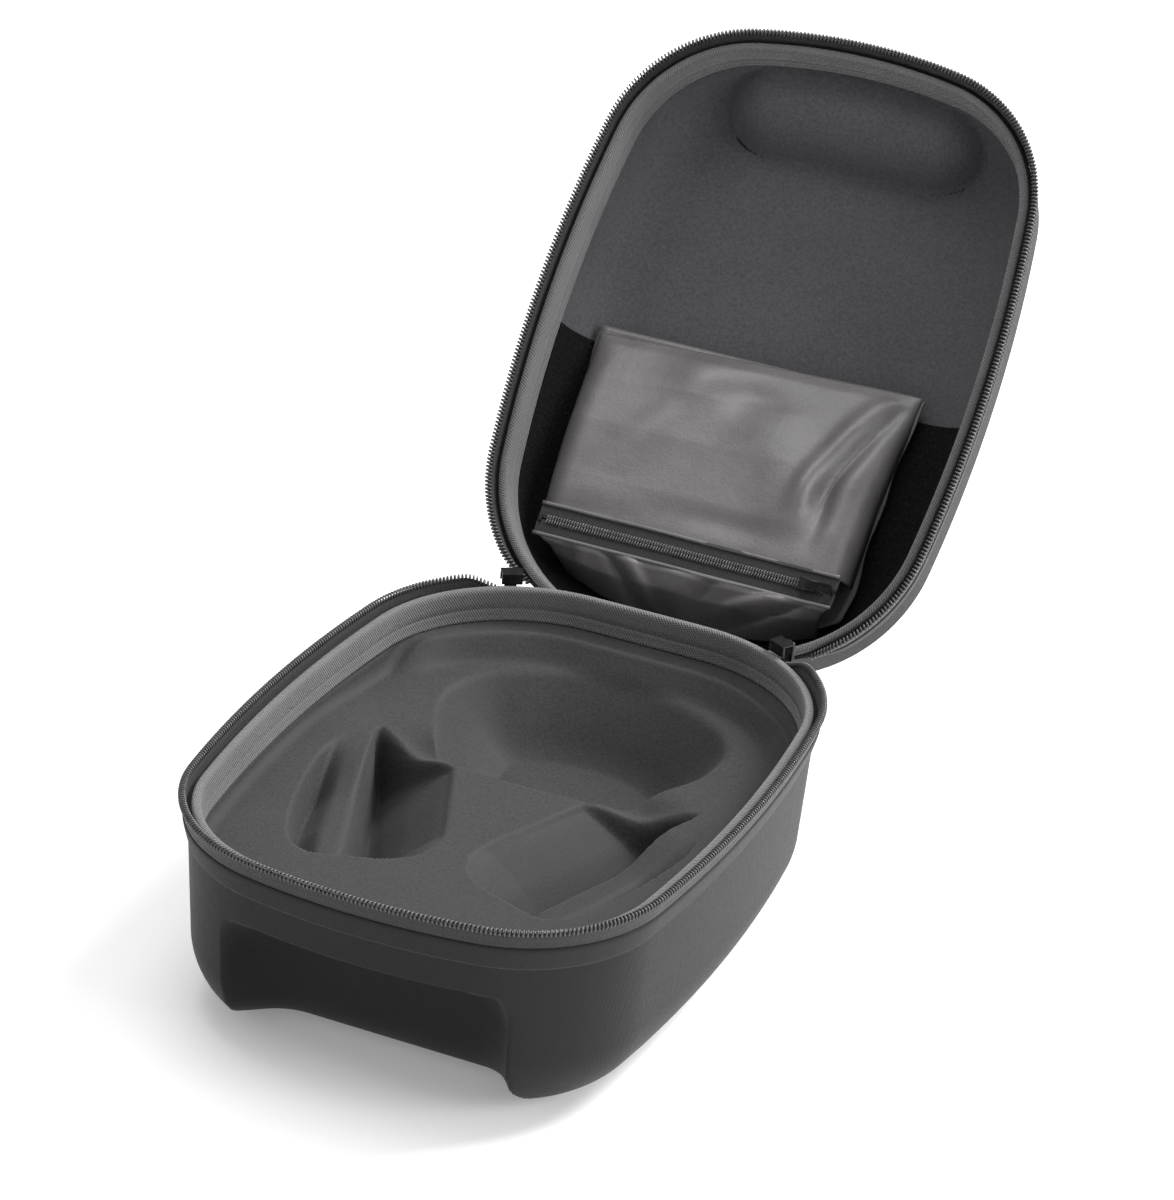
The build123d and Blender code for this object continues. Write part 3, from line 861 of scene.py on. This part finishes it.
def row_tree(name, sizes, section):
    """Loops of wire, set at a pitch along a path that carries an up vector."""
    tree = Tree(name, sizes)
    spaced, turn = tree.stations()
    circle = "GeometryNodeCurvePrimitiveCircle"
    loop = tree.node(circle, {"mode": "RADIUS"}, {"Resolution": section[0], "Radius": 1.0})
    half_width = tree.node("ShaderNodeMath", {"operation": "MULTIPLY"}, {0: tree.size("Width"), 1: 0.5})
    half_height = tree.node("ShaderNodeMath", {"operation": "MULTIPLY"}, {0: tree.size("Height"), 1: 0.5})
    scale = tree.node(
        "ShaderNodeCombineXYZ", inputs={"X": half_width.outputs[0], "Y": half_height.outputs[0], "Z": 1.0}
    )
    flat = tree.node("GeometryNodeTransform", inputs={"Geometry": loop.outputs[0], "Scale": scale.outputs[0]})
    upright = (math.radians(90), 0.0, math.radians(90 - section[2]))
    stand = tree.node("GeometryNodeTransform", inputs={"Geometry": flat.outputs[0], "Rotation": upright})
    wire = tree.node(circle, {"mode": "RADIUS"}, {"Resolution": section[1]})
    tree.group.links.new(tree.size("Wire"), wire.inputs["Radius"])
    solid = tree.node(
        "GeometryNodeCurveToMesh", inputs={"Curve": stand.outputs[0], "Profile Curve": wire.outputs[0]}
    )
    tree.place(solid, spaced, turn)
    return tree


def run_tree(name, tree, verts, ups, values, material, wrap=False):
    """A path mesh with its up vectors, turned by a tree into one plain mesh."""
    n = len(verts)
    edges = [(i, (i + 1) % n) for i in range(n if wrap else n - 1)]
    mesh = bpy.data.meshes.new(name + "_path")
    mesh.from_pydata([tuple(v) for v in verts], edges, [])
    up = mesh.attributes.new("up", "FLOAT_VECTOR", "POINT")
    up.data.foreach_set("vector", np.asarray(ups, np.float32).ravel())
    path = bpy.data.objects.new(name + "_path", mesh)
    bpy.context.scene.collection.objects.link(path)
    modifier = path.modifiers.new("row", "NODES")
    modifier.node_group = tree.group
    for key, value in values.items():
        modifier[tree.ids[key]] = value
    modifier[tree.ids["Material"]] = material
    bpy.context.view_layer.update()
    evaluated = path.evaluated_get(bpy.context.evaluated_depsgraph_get())
    result = bpy.data.meshes.new_from_object(evaluated)
    result.name = name
    path.modifiers.clear()
    bpy.data.objects.remove(path)
    piece = bpy.data.objects.new(name, result)
    bpy.context.scene.collection.objects.link(piece)
    if not result.materials:
        result.materials.append(material)
    return piece


sizes = {"Pitch": 0.0016, "Width": 0.0024, "Height": 0.0020, "Wire": 0.00045}
coil_tree = row_tree("coil_row", sizes, (12, 6, 14.0))
keep = np.where(~((np.abs(RIM[:, 0]) < BACK_GAP) & (RIM[:, 1] > 0)))[0]
start = np.where(np.diff(keep) > 1)[0][0] + 1
row_order = np.concatenate([keep[start:], keep[:start]])
row_order = row_order[2:-2]
for half in ("base", "lid"):
    centre = to_world(half, tapered(ring(1.35, 1.65)))[row_order]
    above = to_world(half, tapered(ring(1.35, 1.65)) - (0, 0, 1))[row_order]
    ups = (above - centre) / np.linalg.norm(above - centre, axis=1)[:, None]
    coil = run_tree(f"{half}_coil", coil_tree, centre, ups, sizes, coil_nylon)
    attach(coil, half)
    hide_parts(f"{half}_zipper_coil")


# ---- hinge strip ---------------------------------------------------------------------------
def back_wall(x, depth):
    inset = SHELL_INSET + depth * DRAFT
    if abs(x) <= 24.2226:
        return LENGTH / 2 - inset
    return 62.9087 + math.sqrt((72.0 - inset) ** 2 - (abs(x) - 24.2226) ** 2)


def hinge_cloth():
    rows = []
    columns = np.linspace(-45, 45, 61)
    for x in columns:
        off = 1.1
        base_low = (back_wall(x, 25.9) + off, BASE_DEPTH - 25.9)
        base_top = (back_wall(x, 11.9) + off, BASE_DEPTH - 11.9)
        lid_edge = opened(back_wall(x, 6) + off + 2.2, BASE_DEPTH + 6)
        lid_mid = opened(back_wall(x, 13) + off + 0.3, BASE_DEPTH + 13)
        lid_far = opened(back_wall(x, 20) + off, BASE_DEPTH + 20)
        fold = ((base_top[0] + lid_edge[0]) / 2, (base_top[1] + lid_edge[1]) / 2 + 7)
        line = np.array([base_low, base_top, fold, lid_edge, lid_mid, lid_far])
        for _ in range(3):
            q = 0.75 * line[:-1] + 0.25 * line[1:]
            r = 0.25 * line[:-1] + 0.75 * line[1:]
            line = np.concatenate([line[:1], np.stack([q, r], 1).reshape(-1, 2), line[-1:]])
        step = np.concatenate([[0], np.cumsum(np.linalg.norm(np.diff(line, axis=0), axis=1))])
        at = np.linspace(0, step[-1], 34)
        line = np.stack([np.interp(at, step, line[:, k]) for k in (0, 1)], 1)
        rows.append(np.concatenate([np.full((34, 1), x), line], 1) / 1000)
    grid = np.array(rows).transpose(1, 0, 2)
    piece = loft_rings("hinge_cloth", grid, hinge_fabric, wrap=False, along=(columns + 45) / 1000)
    thick = piece.modifiers.new("thickness", "SOLIDIFY")
    thick.thickness = 0.0009
    thick.offset = 0.0
    bpy.context.view_layer.update()
    piece.data = bpy.data.meshes.new_from_object(piece.evaluated_get(bpy.context.evaluated_depsgraph_get()))
    piece.modifiers.clear()
    far_y, far_z = opened(back_wall(0, 6) + 2.2, BASE_DEPTH + 7)
    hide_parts("hinge_strip")
    far_y / 1000
    far_z / 1000
    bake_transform(piece)
    return piece


hinge_cloth()


# ---- loop lining in the lid -------------------------------------------------------------------
LID_FLOOR = LID_DEPTH - WALL


def lid_surface(inset, depth, radius, count=30):
    """Rings of points over the lid's inside, from the binding to the middle of its floor."""
    start = BINDING_END + 1.2
    rings = []
    if depth - radius > start:
        rings = [ring(inset, d) for d in np.linspace(start, depth - radius, 6)]
    angles = np.linspace(2, 90, 24) * math.pi / 180
    fillet = [ring(inset + radius * (1 - math.cos(a)), depth - radius * (1 - math.sin(a))) for a in angles]
    rings += [r for r in fillet if r[0, 2] > start]
    rings += floor_rings(rings[-1], count)
    return np.array(rings)


def loop_panel():
    radius = 24.0 - 1.4
    skin = lid_surface(SHELL_INSET + WALL + 1.35, LID_FLOOR - 1.35, radius)
    back = lid_surface(SHELL_INSET + WALL + 0.3, LID_FLOOR - 0.3, 23.7)
    verts, faces = [], []
    for surface in (skin, back):
        rows, cols = surface.shape[:2]
        base = len(verts)
        pts = surface.reshape(-1, 3)
        verts += list(pts)
        for j in range(rows - 1):
            for i in range(cols):
                near, far = base + j * cols, base + (j + 1) * cols
                faces.append((near + i, near + (i + 1) % cols, far + (i + 1) % cols, far + i))
        centre = len(verts)
        verts.append(surface[-1].mean(0))
        for i in range(cols):
            faces.append((base + (rows - 1) * cols + i, base + (rows - 1) * cols + (i + 1) % cols, centre))
    rows, cols = skin.shape[:2]
    second = rows * cols + 1
    for i in range(cols):
        faces.append((i, (i + 1) % cols, second + (i + 1) % cols, second + i))
    mesh = bpy.data.meshes.new("lid_loop_lining")
    mesh.from_pydata([tuple(v) for v in verts], [], faces)
    b = bmesh.new()
    b.from_mesh(mesh)
    everything = b.verts[:] + b.edges[:] + b.faces[:]
    bmesh.ops.bisect_plane(b, geom=everything, plane_co=(0, 7, 0), plane_no=(0, 1, 0), clear_inner=True)
    bmesh.ops.bridge_loops(b, edges=[e for e in b.edges if e.is_boundary])
    bmesh.ops.remove_doubles(b, verts=b.verts, dist=0.001)
    bmesh.ops.recalc_face_normals(b, faces=b.faces)
    b.to_mesh(mesh)
    b.free()
    count = len(mesh.vertices)
    co = np.zeros(count * 3)
    mesh.vertices.foreach_get("co", co)
    mesh.vertices.foreach_set("co", to_world("lid", co.reshape(-1, 3)).ravel())
    mesh.update()
    mesh.materials.append(loop_lining)
    mesh.polygons.foreach_set("use_smooth", [True] * len(mesh.polygons))
    piece = bpy.data.objects.new("lid_loop_lining", mesh)
    bpy.context.scene.collection.objects.link(piece)
    tidy_mesh(piece)
    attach(piece, "lid")
    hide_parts("lid_loop_panel")
    return piece


loop_panel()


# ---- pouch --------------------------------------------------------------------------------------
ZIP_Y = 91.0
POUCH_BACK = LID_FLOOR - 0.2 - 1.2 - 2.4 - 1.2
PUFF = 16.0


def pouch_edges(y):
    """Left and right edge of the pouch at a place along the lid."""
    left = table(
        [(-2, -79), (3, -78), (30, -77), (52, -76), (70, -74.5), (85, -73), (98, -68), (104, -52),
         (112, -36)], y
    )
    right = table([(-2, 65), (3, 64), (30, 62), (52, 61), (85, 61.5), (98, 60), (104, 50), (112, 36)], y)
    return left, right


def pouch_front():
    """The crowned front panel, its side and the edge it is sewn along."""
    rows, cols = 96, 132
    crest = [(0, POUCH_BACK - 1.5), (0.06, 31.5), (0.25, 25.5), (0.5, 20.8), (0.8, 17.2), (1, PUFF + 0.1)]
    verts = np.zeros((rows, cols, 3))
    for j in range(rows):
        v = j / (rows - 1)
        y_line = 1.0 + v * 83.6
        left, right = pouch_edges(y_line)
        for i in range(cols):
            u = i / (cols - 1)
            x = left + (right - left) * u
            y = y_line + (1 - v) * (2.5 - 5.0 * u)
            crown = table(crest, v)
            side = min(u, 1 - u) * (right - left)
            lip = 11.0 if u < 0.5 else 14.0
            drop = 1 - math.sqrt(max(0.0, 1 - (1 - min(side / lip, 1)) ** 2))
            depth = crown + (POUCH_BACK - 1.0 - crown) * drop * (1 - 0.25 * v)
            verts[j, i] = (x, y, depth)
    x, y, d = verts[..., 0], verts[..., 1], verts[..., 2]
    v = (y - 1) / 84
    u = (x + 79) / 143
    fade = rise(v / 0.08) * rise((1 - v) / 0.06) * rise(u / 0.05) * rise((1 - u) / 0.05)
    fold = -3.4 * bell(u, v, 0.36, 0.13, 0.11, 0.12) + 2.6 * bell(u, v, 0.55, 0.20, 0.12, 0.09)
    fold += -1.5 * bell(u + 0.35 * (v - 0.5), v, 0.27, 0.45, 0.07, 0.45)
    fold += 1.2 * bell(u + 0.30 * (v - 0.5), v, 0.44, 0.55, 0.08, 0.32)
    fold += -1.8 * bell(u - 0.20 * (v - 0.5), v, 0.68, 0.45, 0.10, 0.35)
    line = u - (0.985 - 0.22 * np.clip(v, 0, 1) ** 0.8)
    fold += 3.4 * bell(line, v, 0.0, 0.38, 0.030, 0.32) - 3.0 * bell(line + 0.06, v, 0.0, 0.34, 0.035, 0.30)
    fold += 3.6 * bell(u, v, 0.85, 0.68, 0.035, 0.15) - 2.6 * bell(u, v, 0.79, 0.62, 0.035, 0.14)
    fold += 1.0 * bell(u, v, 0.62, 0.88, 0.20, 0.06) - 0.9 * bell(u, v, 0.20, 0.88, 0.12, 0.07)
    d = d + fold * fade
    verts[..., 2] = np.clip(d, 13.6, POUCH_BACK - 0.4)
    return verts


def close_sheet(name, grid, thickness, material, half="lid"):
    world = to_world(half, grid)
    piece = loft_rings(name, world, material, wrap=False, along=np.linspace(0, 0.14, grid.shape[1]))
    thick = piece.modifiers.new("thickness", "SOLIDIFY")
    thick.thickness = thickness
    thick.offset = -1.0
    bpy.context.view_layer.update()
    piece.data = bpy.data.meshes.new_from_object(piece.evaluated_get(bpy.context.evaluated_depsgraph_get()))
    piece.modifiers.clear()
    return piece


front_grid = pouch_front()
front = close_sheet("pouch_front", front_grid, 0.0009, leatherette)
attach(front, "pouch")
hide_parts("pouch_front_panel")


def pouch_lower():
    rows, cols = 44, 110
    slope = [(0, PUFF), (0.15, PUFF + 0.6), (0.5, PUFF + 5), (0.8, PUFF + 13), (1, POUCH_BACK - 2)]
    verts = np.zeros((rows, cols, 3))
    for j in range(rows):
        v = j / (rows - 1)
        for i in range(cols):
            u = i / (cols - 1)
            y = 97.4 + v * (17.5 - 9.0 * (2 * u - 1) ** 4)
            left, right = pouch_edges(min(y, 100 + 0.35 * (y - 100)))
            x = left + (right - left) * u
            verts[j, i] = (x, y, table(slope, v))
    x, y, d = verts[..., 0], verts[..., 1], verts[..., 2]
    u = (x + 60) / 116
    v = (y - 97.4) / 17
    fade = rise(v / 0.14) * rise((1.05 - v) / 0.15)
    leaning = u - 0.12 * v
    fold = 3.4 * bell(leaning, v, 0.20, 0.35, 0.030, 0.45) - 3.0 * bell(leaning, v, 0.27, 0.35, 0.035, 0.45)
    fold += -2.4 * bell(u, v, 0.45, 0.55, 0.08, 0.40) + 2.6 * bell(u + 0.10 * v, v, 0.60, 0.45, 0.035, 0.45)
    leaning = u + 0.3 * v
    fold += -3.6 * bell(leaning, v, 0.86, 0.35, 0.05, 0.30) + 3.4 * bell(leaning, v, 0.95, 0.40, 0.035, 0.35)
    fold += 1.6 * bell(u, v, 0.06, 0.3, 0.03, 0.3) - 1.6 * bell(u, v, 0.10, 0.5, 0.04, 0.3)
    verts[..., 2] = np.clip(d + fold * fade, 13.5, POUCH_BACK + 1.0)
    return verts


lower_grid = pouch_lower()
lower = close_sheet("pouch_lower", lower_grid, 0.0009, leatherette)
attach(lower, "pouch")
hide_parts("pouch_lower_panel")


def pouch_back():
    rows = []
    for y in np.linspace(-0.5, 107.5, 60):
        left, right = pouch_edges(y)
        slack = 1.2 + 0.5 * math.sin(y / 6.0)
        u = np.linspace(0, 1, 40)
        x = left - slack + (right - left + 2 * slack) * u
        edge = np.minimum(u, 1 - u) * (right - left)
        lift = 0.9 * np.exp(-edge / 3.0) * (1 + 0.5 * np.sin(y / 4.5))
        rows.append(np.stack([x, np.full(40, y), POUCH_BACK + 0.1 - lift], 1))
    return np.array(rows)


back_panel = close_sheet("pouch_back", pouch_back(), 0.0010, leatherette)
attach(back_panel, "pouch")
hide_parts("pouch_back_panel")


def ribbon(name, line, width_vector, thickness_vector, material, half="lid", rounding=0.3):
    """A flat strip along a line of points, with eased edges."""
    w, t = np.array(width_vector, float), np.array(thickness_vector, float)
    section = [(-1, -1 + rounding), (-1 + rounding * 0.3, -1), (1 - rounding * 0.3, -1), (1, -1 + rounding),
               (1, 1 - rounding), (1 - rounding * 0.3, 1), (-1 + rounding * 0.3, 1), (-1, 1 - rounding)]
    p = np.asarray(line, float)
    rings = np.array([p + a * w / 2 + b * t / 2 for a, b in section])
    step = np.concatenate([[0], np.cumsum(np.linalg.norm(np.diff(p, axis=0), axis=1))]) / 1000
    piece = loft_rings(name, to_world(half, rings), material, wrap=False, closed=True, along=step)
    b = bmesh.new()
    b.from_mesh(piece.data)
    bmesh.ops.holes_fill(b, edges=b.edges, sides=0)
    b.to_mesh(piece.data)
    b.free()
    return tidy_mesh(piece)


ZIP_LEFT, ZIP_RIGHT = -71.0, 60.5
zip_x = np.linspace(ZIP_LEFT, ZIP_RIGHT, 60)


def zip_line(y, depth):
    """The pouch's zipper waves a little."""
    wave = 0.35 * np.sin(zip_x / 17.0) + 0.2 * np.sin(zip_x / 7.0 + 1.0)
    return np.stack([zip_x, y + 0 * zip_x, depth + wave], 1)


for label, side in (("upper", -1), ("lower", 1)):
    line = zip_line(ZIP_Y + side * 3.3, PUFF + 0.6)
    tape = ribbon(f"pouch_tape_{label}", line, (0, 6.0, 0), (0, 0, 0.7), pouch_tape_fabric)
    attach(tape, "pouch")
    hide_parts(f"pouch_zipper_tape_{label}")
    line = zip_line(ZIP_Y + side * 6.6, PUFF - 0.25)
    hem = ribbon(f"pouch_hem_{label}", line, (0, 1.6, 0), (0, 0, 1.5), leatherette, rounding=0.7)
    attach(hem, "pouch")

pouch_sizes = {"Pitch": 0.0012, "Width": 0.0017, "Height": 0.0013, "Wire": 0.0003}
pouch_coil_tree = row_tree("pouch_coil_row", pouch_sizes, (10, 5, 14.0))
for label, side in (("upper", -1), ("lower", 1)):
    line = zip_line(ZIP_Y + side * 0.92, PUFF - 0.4)[2:-2]
    centre = to_world("lid", line)
    above = to_world("lid", line + (0, 0, -1))
    ups = (above - centre) * 1000
    coil = run_tree(f"pouch_coil_{label}", pouch_coil_tree, centre, ups, pouch_sizes, pouch_coil_nylon)
    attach(coil, "pouch")
    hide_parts(f"pouch_zipper_coil_{label}")


def stitch_tree():
    """Short threads laid end to end along a path."""
    sizes = {"Pitch": 0.0026, "Width": 0.0019, "Height": 0.0002, "Wire": 0.00024}
    tree = Tree("stitch_row", sizes)
    spaced, turn = tree.stations()
    ball = tree.node("GeometryNodeMeshUVSphere", inputs={"Segments": 8, "Rings": 6, "Radius": 1.0})
    half_length = tree.node("ShaderNodeMath", {"operation": "MULTIPLY"}, {0: tree.size("Width"), 1: 0.5})
    scale = tree.node(
        "ShaderNodeCombineXYZ",
        inputs={"X": half_length.outputs[0], "Y": tree.size("Wire"), "Z": tree.size("Wire")},
    )
    thread = {"Geometry": ball.outputs[0], "Scale": scale.outputs[0]}
    shaped = tree.node("GeometryNodeTransform", inputs=thread)
    tree.place(shaped, spaced, turn)
    return tree, sizes


stitches, stitch_sizes = stitch_tree()
for label, grid, row in (("upper", front_grid, 92), ("lower", lower_grid, 5)):
    line = grid[row, 3:-3] - (0, 0, 0.12)
    centre = to_world("lid", line)
    ups = (to_world("lid", line + (0, 0, -1)) - centre) * 1000
    row = run_tree(f"pouch_stitches_{label}", stitches, centre, ups, stitch_sizes, sewing_thread)
    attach(row, "pouch")


# ---- small hardware ---------------------------------------------------------------------------
def rounded_block(name, low, high, material, bevel, body, half="lid", nodes=(), taper=0.0):
    """A small cast block with eased edges, given in a half's own coordinates."""
    b = bmesh.new()
    bmesh.ops.create_cube(b, size=1.0)
    lo, hi = np.array(low, float), np.array(high, float)
    for v in b.verts:
        p = np.array(v.co) + 0.5
        q = lo + (hi - lo) * p
        if taper and p[0] > 0.5:
            q[1] += (0.5 - p[1]) * taper
        v.co = q
    bmesh.ops.bevel(b, geom=b.edges[:], offset=bevel, segments=3, profile=0.6, affect="EDGES")
    for v in b.verts:
        v.co = to_world(half, np.array(v.co))
    bmesh.ops.recalc_face_normals(b, faces=b.faces)
    mesh = bpy.data.meshes.new(name)
    b.to_mesh(mesh)
    b.free()
    mesh.materials.append(material)
    mesh.polygons.foreach_set("use_smooth", [True] * len(mesh.polygons))
    piece = bpy.data.objects.new(name, mesh)
    bpy.context.scene.collection.objects.link(piece)
    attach(piece, body)
    if nodes:
        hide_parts(*nodes)
    return piece


front_of_coil = PUFF + 0.2 - 1.2
slider_x = 45.0
slider = rounded_block(
    "pouch_slider_body",
    (slider_x, ZIP_Y - 3.2, front_of_coil - 1.8),
    (slider_x + 8, ZIP_Y + 3.2, front_of_coil - 0.35),
    black_metal, 0.5, "pouch_slider", nodes=("pouch_zipper_slider",), taper=1.6,
)
for k, x in enumerate((ZIP_LEFT + 0.4, ZIP_RIGHT - 1.8)):
    stop = rounded_block(
        f"pouch_end_stop_{k}", (x, ZIP_Y - 1.5, front_of_coil - 0.1), (x + 1.4, ZIP_Y + 1.5, PUFF + 0.3),
        black_metal, 0.3, "pouch", nodes=("pouch_zipper_stops",) if k == 0 else (),
    )


def pull_tab(name, body, outline_points, thickness, place, material, nodes):
    """A flat pull, cut from a plan outline and eased."""
    b = bmesh.new()
    outer = [b.verts.new((x, y, 0)) for x, y in outline_points]
    b.faces.new(outer)
    bmesh.ops.solidify(b, geom=b.faces[:], thickness=thickness)
    bmesh.ops.recalc_face_normals(b, faces=b.faces)
    rim = [e for e in b.edges if e.calc_face_angle(0) > 0.8]
    bmesh.ops.bevel(b, geom=rim, offset=thickness * 0.28, segments=2, profile=0.6, affect="EDGES")
    for v in b.verts:
        v.co = place(v.co.x, v.co.y, v.co.z)
    bmesh.ops.recalc_face_normals(b, faces=b.faces)
    mesh = bpy.data.meshes.new(name)
    b.to_mesh(mesh)
    b.free()
    mesh.materials.append(material)
    mesh.polygons.foreach_set("use_smooth", [False] * len(mesh.polygons))
    piece = bpy.data.objects.new(name, mesh)
    bpy.context.scene.collection.objects.link(piece)
    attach(piece, body)
    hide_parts(*nodes)
    return piece


def tab_outline(length, wide, narrow):
    """Rounded tab from its hinge end to its wide end."""
    points = []
    for centre, radius, turns in (
        (narrow / 2, narrow / 2, np.linspace(90, 270, 9)),
        (length - wide / 2, wide / 2, np.linspace(-90, 90, 13)),
    ):
        for t in np.radians(turns):
            points.append((centre + radius * math.cos(t), radius * math.sin(t)))
    return points


pull_depth = front_of_coil - 0.3 - 1.5 - 0.3 - 0.45


def pouch_pull_place(x, y, z):
    return to_world("lid", (slider_x + 3.0 + x, ZIP_Y + y, pull_depth + z))


pull_tab(
    "pouch_pull_tab", "pouch_pull", tab_outline(12.0, 4.2, 2.8), 0.8, pouch_pull_place, black_metal,
    ("pouch_zipper_pull",),
)


def eased_copy(node, name, body, ease):
    """A copy of a small hard CAD solid with its edges rounded."""
    b = bmesh.new()
    b.from_mesh(frame["nodes"][node].data)
    bmesh.ops.remove_doubles(b, verts=b.verts, dist=2e-5)
    bmesh.ops.dissolve_limit(b, angle_limit=math.radians(4), verts=b.verts, edges=b.edges)
    sharp = [e for e in b.edges if e.is_manifold and e.calc_face_angle(0) > math.radians(35)]
    bmesh.ops.bevel(b, geom=sharp, offset=ease, segments=2, profile=0.6, affect="EDGES", clamp_overlap=True)
    bmesh.ops.triangulate(b, faces=b.faces)
    bmesh.ops.recalc_face_normals(b, faces=b.faces)
    mesh = bpy.data.meshes.new(name)
    b.to_mesh(mesh)
    b.free()
    mesh.materials.append(black_metal)
    piece = bpy.data.objects.new(name, mesh)
    bpy.context.scene.collection.objects.link(piece)
    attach(piece, body)
    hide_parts(node)
    return piece


for side in ("left", "right"):
    eased_copy(f"zipper_slider_{side}", f"main_slider_{side}", f"{side}_slider", 0.00025)
    eased_copy(f"zipper_pull_{side}", f"main_pull_{side}", f"{side}_pull", 0.0003)
patch = frame["nodes"]["pouch_hook_patch"]
patch.data.materials.clear()
patch.data.materials.append(hook_lining)

# ---- floor, light and camera ---------------------------------------------------------------------
floor_look = Look("pale_floor")
grain = floor_look.noise(floor_look.object_space(), 0.4, 2.0)
floor_look.feed(
    Base_Color=floor_look.ramp(grain, [(0.3, (0.86, 0.86, 0.865)), (0.7, (0.88, 0.88, 0.88))]),
    Roughness=0.6,
    Specular_IOR_Level=0.2,
    Emission_Color=(1.0, 1.0, 1.0, 1),
    Emission_Strength=0.18,
)
mesh = bpy.data.meshes.new("floor")
size = 30.0
mesh.from_pydata([(-size, -size, 0), (size, -size, 0), (size, size, 0), (-size, size, 0)], [], [(0, 1, 2, 3)])
mesh.materials.append(floor_look.material)
floor = bpy.data.objects.new("floor", mesh)
bpy.context.scene.collection.objects.link(floor)

world = bpy.data.worlds.new("studio")
world.use_nodes = True
world.node_tree.nodes["Background"].inputs["Color"].default_value = (1.0, 1.0, 1.0, 1)
world.node_tree.nodes["Background"].inputs["Strength"].default_value = 0.62
bpy.context.scene.world = world


def area_light(name, at, aim, size, power, colour=(1, 1, 1)):
    data = bpy.data.lights.new(name, "AREA")
    data.shape = "RECTANGLE"
    data.size, data.size_y = size
    data.energy = power
    data.color = colour
    lamp = bpy.data.objects.new(name, data)
    lamp.location = at
    lamp.rotation_euler = (Vector(aim) - Vector(at)).to_track_quat("-Z", "Y").to_euler()
    bpy.context.scene.collection.objects.link(lamp)
    return lamp


area_light("key_softbox", (1.0, 1.3, 1.7), (0, 0.1, 0.1), (1.0, 1.0), 78)
area_light("right_softbox", (1.8, -0.1, 0.9), (0, 0.1, 0.1), (0.9, 0.9), 20)
area_light("top_softbox", (-0.3, 0.2, 2.2), (0, 0.1, 0.1), (1.2, 1.2), 20)

TARGET = Vector((0.00063, 0.0604, 0.11907))
AZIMUTH, ELEVATION, ROLL = math.radians(22.04), math.radians(26.93), math.radians(4.34)
DISTANCE = 1.7303
back = Vector((
    math.sin(AZIMUTH) * math.cos(ELEVATION), -math.cos(AZIMUTH) * math.cos(ELEVATION), math.sin(ELEVATION)
))
right = Vector((math.cos(AZIMUTH), math.sin(AZIMUTH), 0))
up = back.cross(right)
level_right = right * math.cos(ROLL) + up * math.sin(ROLL)
level_up = up * math.cos(ROLL) - right * math.sin(ROLL)
camera_data = bpy.data.cameras.new("camera")
camera_data.lens = 136.14
camera_data.sensor_fit = "AUTO"
camera_data.sensor_width = 36.0
camera_data.clip_start = 0.05
camera_data.clip_end = 100.0
camera = bpy.data.objects.new("camera", camera_data)
place = Matrix((level_right, level_up, back)).transposed().to_4x4()
place.translation = TARGET + back * DISTANCE
camera.matrix_world = place
bpy.context.scene.collection.objects.link(camera)
bpy.context.scene.camera = camera
bpy.context.scene.view_settings.view_transform = "Standard"
